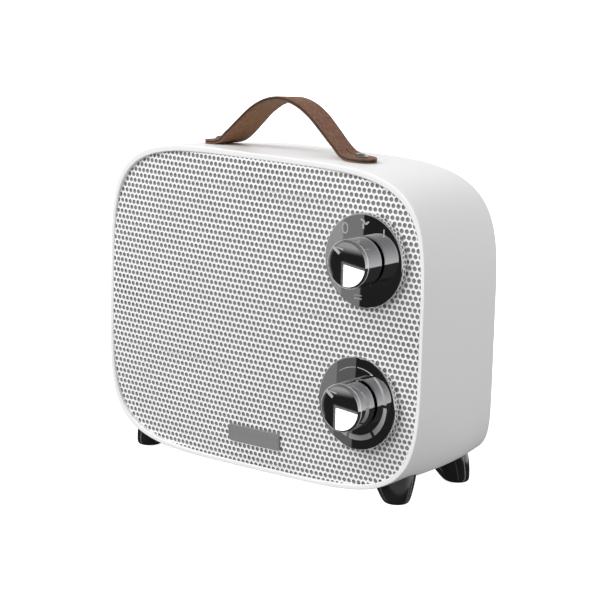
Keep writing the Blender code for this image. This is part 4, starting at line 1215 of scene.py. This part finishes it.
def screw_rule():
    """Sets one screw head at each of four points, mirrored left and right, low and high."""
    tree, given = shaping_tree("cover_screws", {"Reach X": 109.6, "Low Z": 62.0, "High Z": 152.0,
                                                "Seat Y": RIM_Y + 86.75})
    joined = put(tree, "GeometryNodeJoinGeometry")
    for sign in (-1.0, 1.0):
        for level in ("Low Z", "High Z"):
            spot = put(tree, "ShaderNodeCombineXYZ", {0: calc(tree, "MULTIPLY", given["Reach X"], sign),
                                                      1: given["Seat Y"], 2: given[level]})
            metres = put(tree, "ShaderNodeVectorMath", {0: spot.outputs[0], 3: MM}, operation="SCALE")
            placed = put(tree, "GeometryNodeTransform", {"Geometry": given["Shape"],
                                                         "Translation": metres.outputs[0]})
            tree.links.new(placed.outputs[0], joined.inputs[0])
    close_tree(tree, joined.outputs[0], given["Finish"])
    return tree


zinc = brushed("zinc_steel", (0.52, 0.52, 0.54), 0.34, 1.0, (300.0, 300.0, 300.0), 0.08)
head = lathe("screw_head", [(1.4, -12.0), (1.4, 0.0), (3.1, 0.0), (3.2, 0.12), (3.15, 0.45),
                            (2.8, 0.8), (2.1, 1.02), (1.0, 1.14), (0.1, 1.15)], (0, 0, 0), zinc, 48,
             "+Y", 40.0)
for turn in (0, 90):
    wing = stacked("wing", [[Matrix.Rotation(math.radians(turn + 12), 3, "Y")
                             @ Vector((a * s, y, b * s)) * MM
                             for a, b in ((-1.7, -0.3), (1.7, -0.3), (1.7, 0.3), (-1.7, 0.3))]
                            for y, s in ((0.35, 0.55), (1.6, 1.0))], zinc)
    cut = head.modifiers.new("recess", "BOOLEAN")
    cut.operation, cut.solver, cut.object = "DIFFERENCE", "MANIFOLD", wing
head = plain("screw_head_cut", head, 40.0)
for leftover in [o for o in bpy.data.objects if o.name.startswith("wing")]:
    bpy.data.objects.remove(leftover, do_unlink=True)
head_mesh = head.data
bpy.data.objects.remove(head, do_unlink=True)
screws = shaped("cover_screws", head_mesh, screw_rule(), zinc, sharp=40.0)
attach(screws, "case")
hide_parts("cover_screw_lower_left", "cover_screw_lower_right", "cover_screw_upper_left",
            "cover_screw_upper_right")


# ---- inside ------------------------------------------------------------------------------------------
# What shows dimly through the louvres and holds the rest together: galvanised sheet, black
# mouldings, the ceramic heating block, its mica frame and brass fittings.
galvanised = brushed("galvanised_sheet", (0.50, 0.50, 0.52), 0.38, 1.0, (120.0, 120.0, 160.0), 0.15)
brass = brushed("brass_fittings", (0.60, 0.42, 0.15), 0.3, 1.0, (200.0, 200.0, 200.0), 0.1)
fin_metal = brushed("heater_fins", (0.48, 0.48, 0.46), 0.45, 0.7, (60.0, 500.0, 500.0), 0.15)
mica_board = moulded_plastic("mica_board", (0.33, 0.26, 0.17), 0.6, grain=0.2, spread=0.2)
motor_steel = brushed("motor_can", (0.46, 0.46, 0.48), 0.3, 1.0, (400.0, 8.0, 400.0), 0.12)
INSIDE = {
    "bulkhead": galvanised, "control_bracket": galvanised, "thermal_cutout": galvanised,
    "power_nut": zinc, "thermostat_nut": zinc, "power_shaft": zinc, "thermostat_shaft": zinc,
    "motor_shaft": zinc, "foot_screw_front_left": zinc, "foot_screw_front_right": zinc,
    "foot_screw_rear_left": zinc, "foot_screw_rear_right": zinc, "fan_motor": motor_steel,
    "stud_nut_left": brass, "stud_nut_right": brass, "thermal_fuse": brass,
    "ptc_element": fin_metal, "ptc_frame": mica_board, "grille_frame": white_plastic,
    "terminal_block": white_plastic, "air_duct": black_plastic, "fan_impeller": black_plastic,
    "motor_mount": black_plastic, "rotary_switch": black_plastic, "thermostat_body": black_plastic,
    "tip_over_switch": black_plastic,
}
for node, material in INSIDE.items():
    data = frame["nodes"][node].data
    data.materials.clear()
    data.materials.append(material)
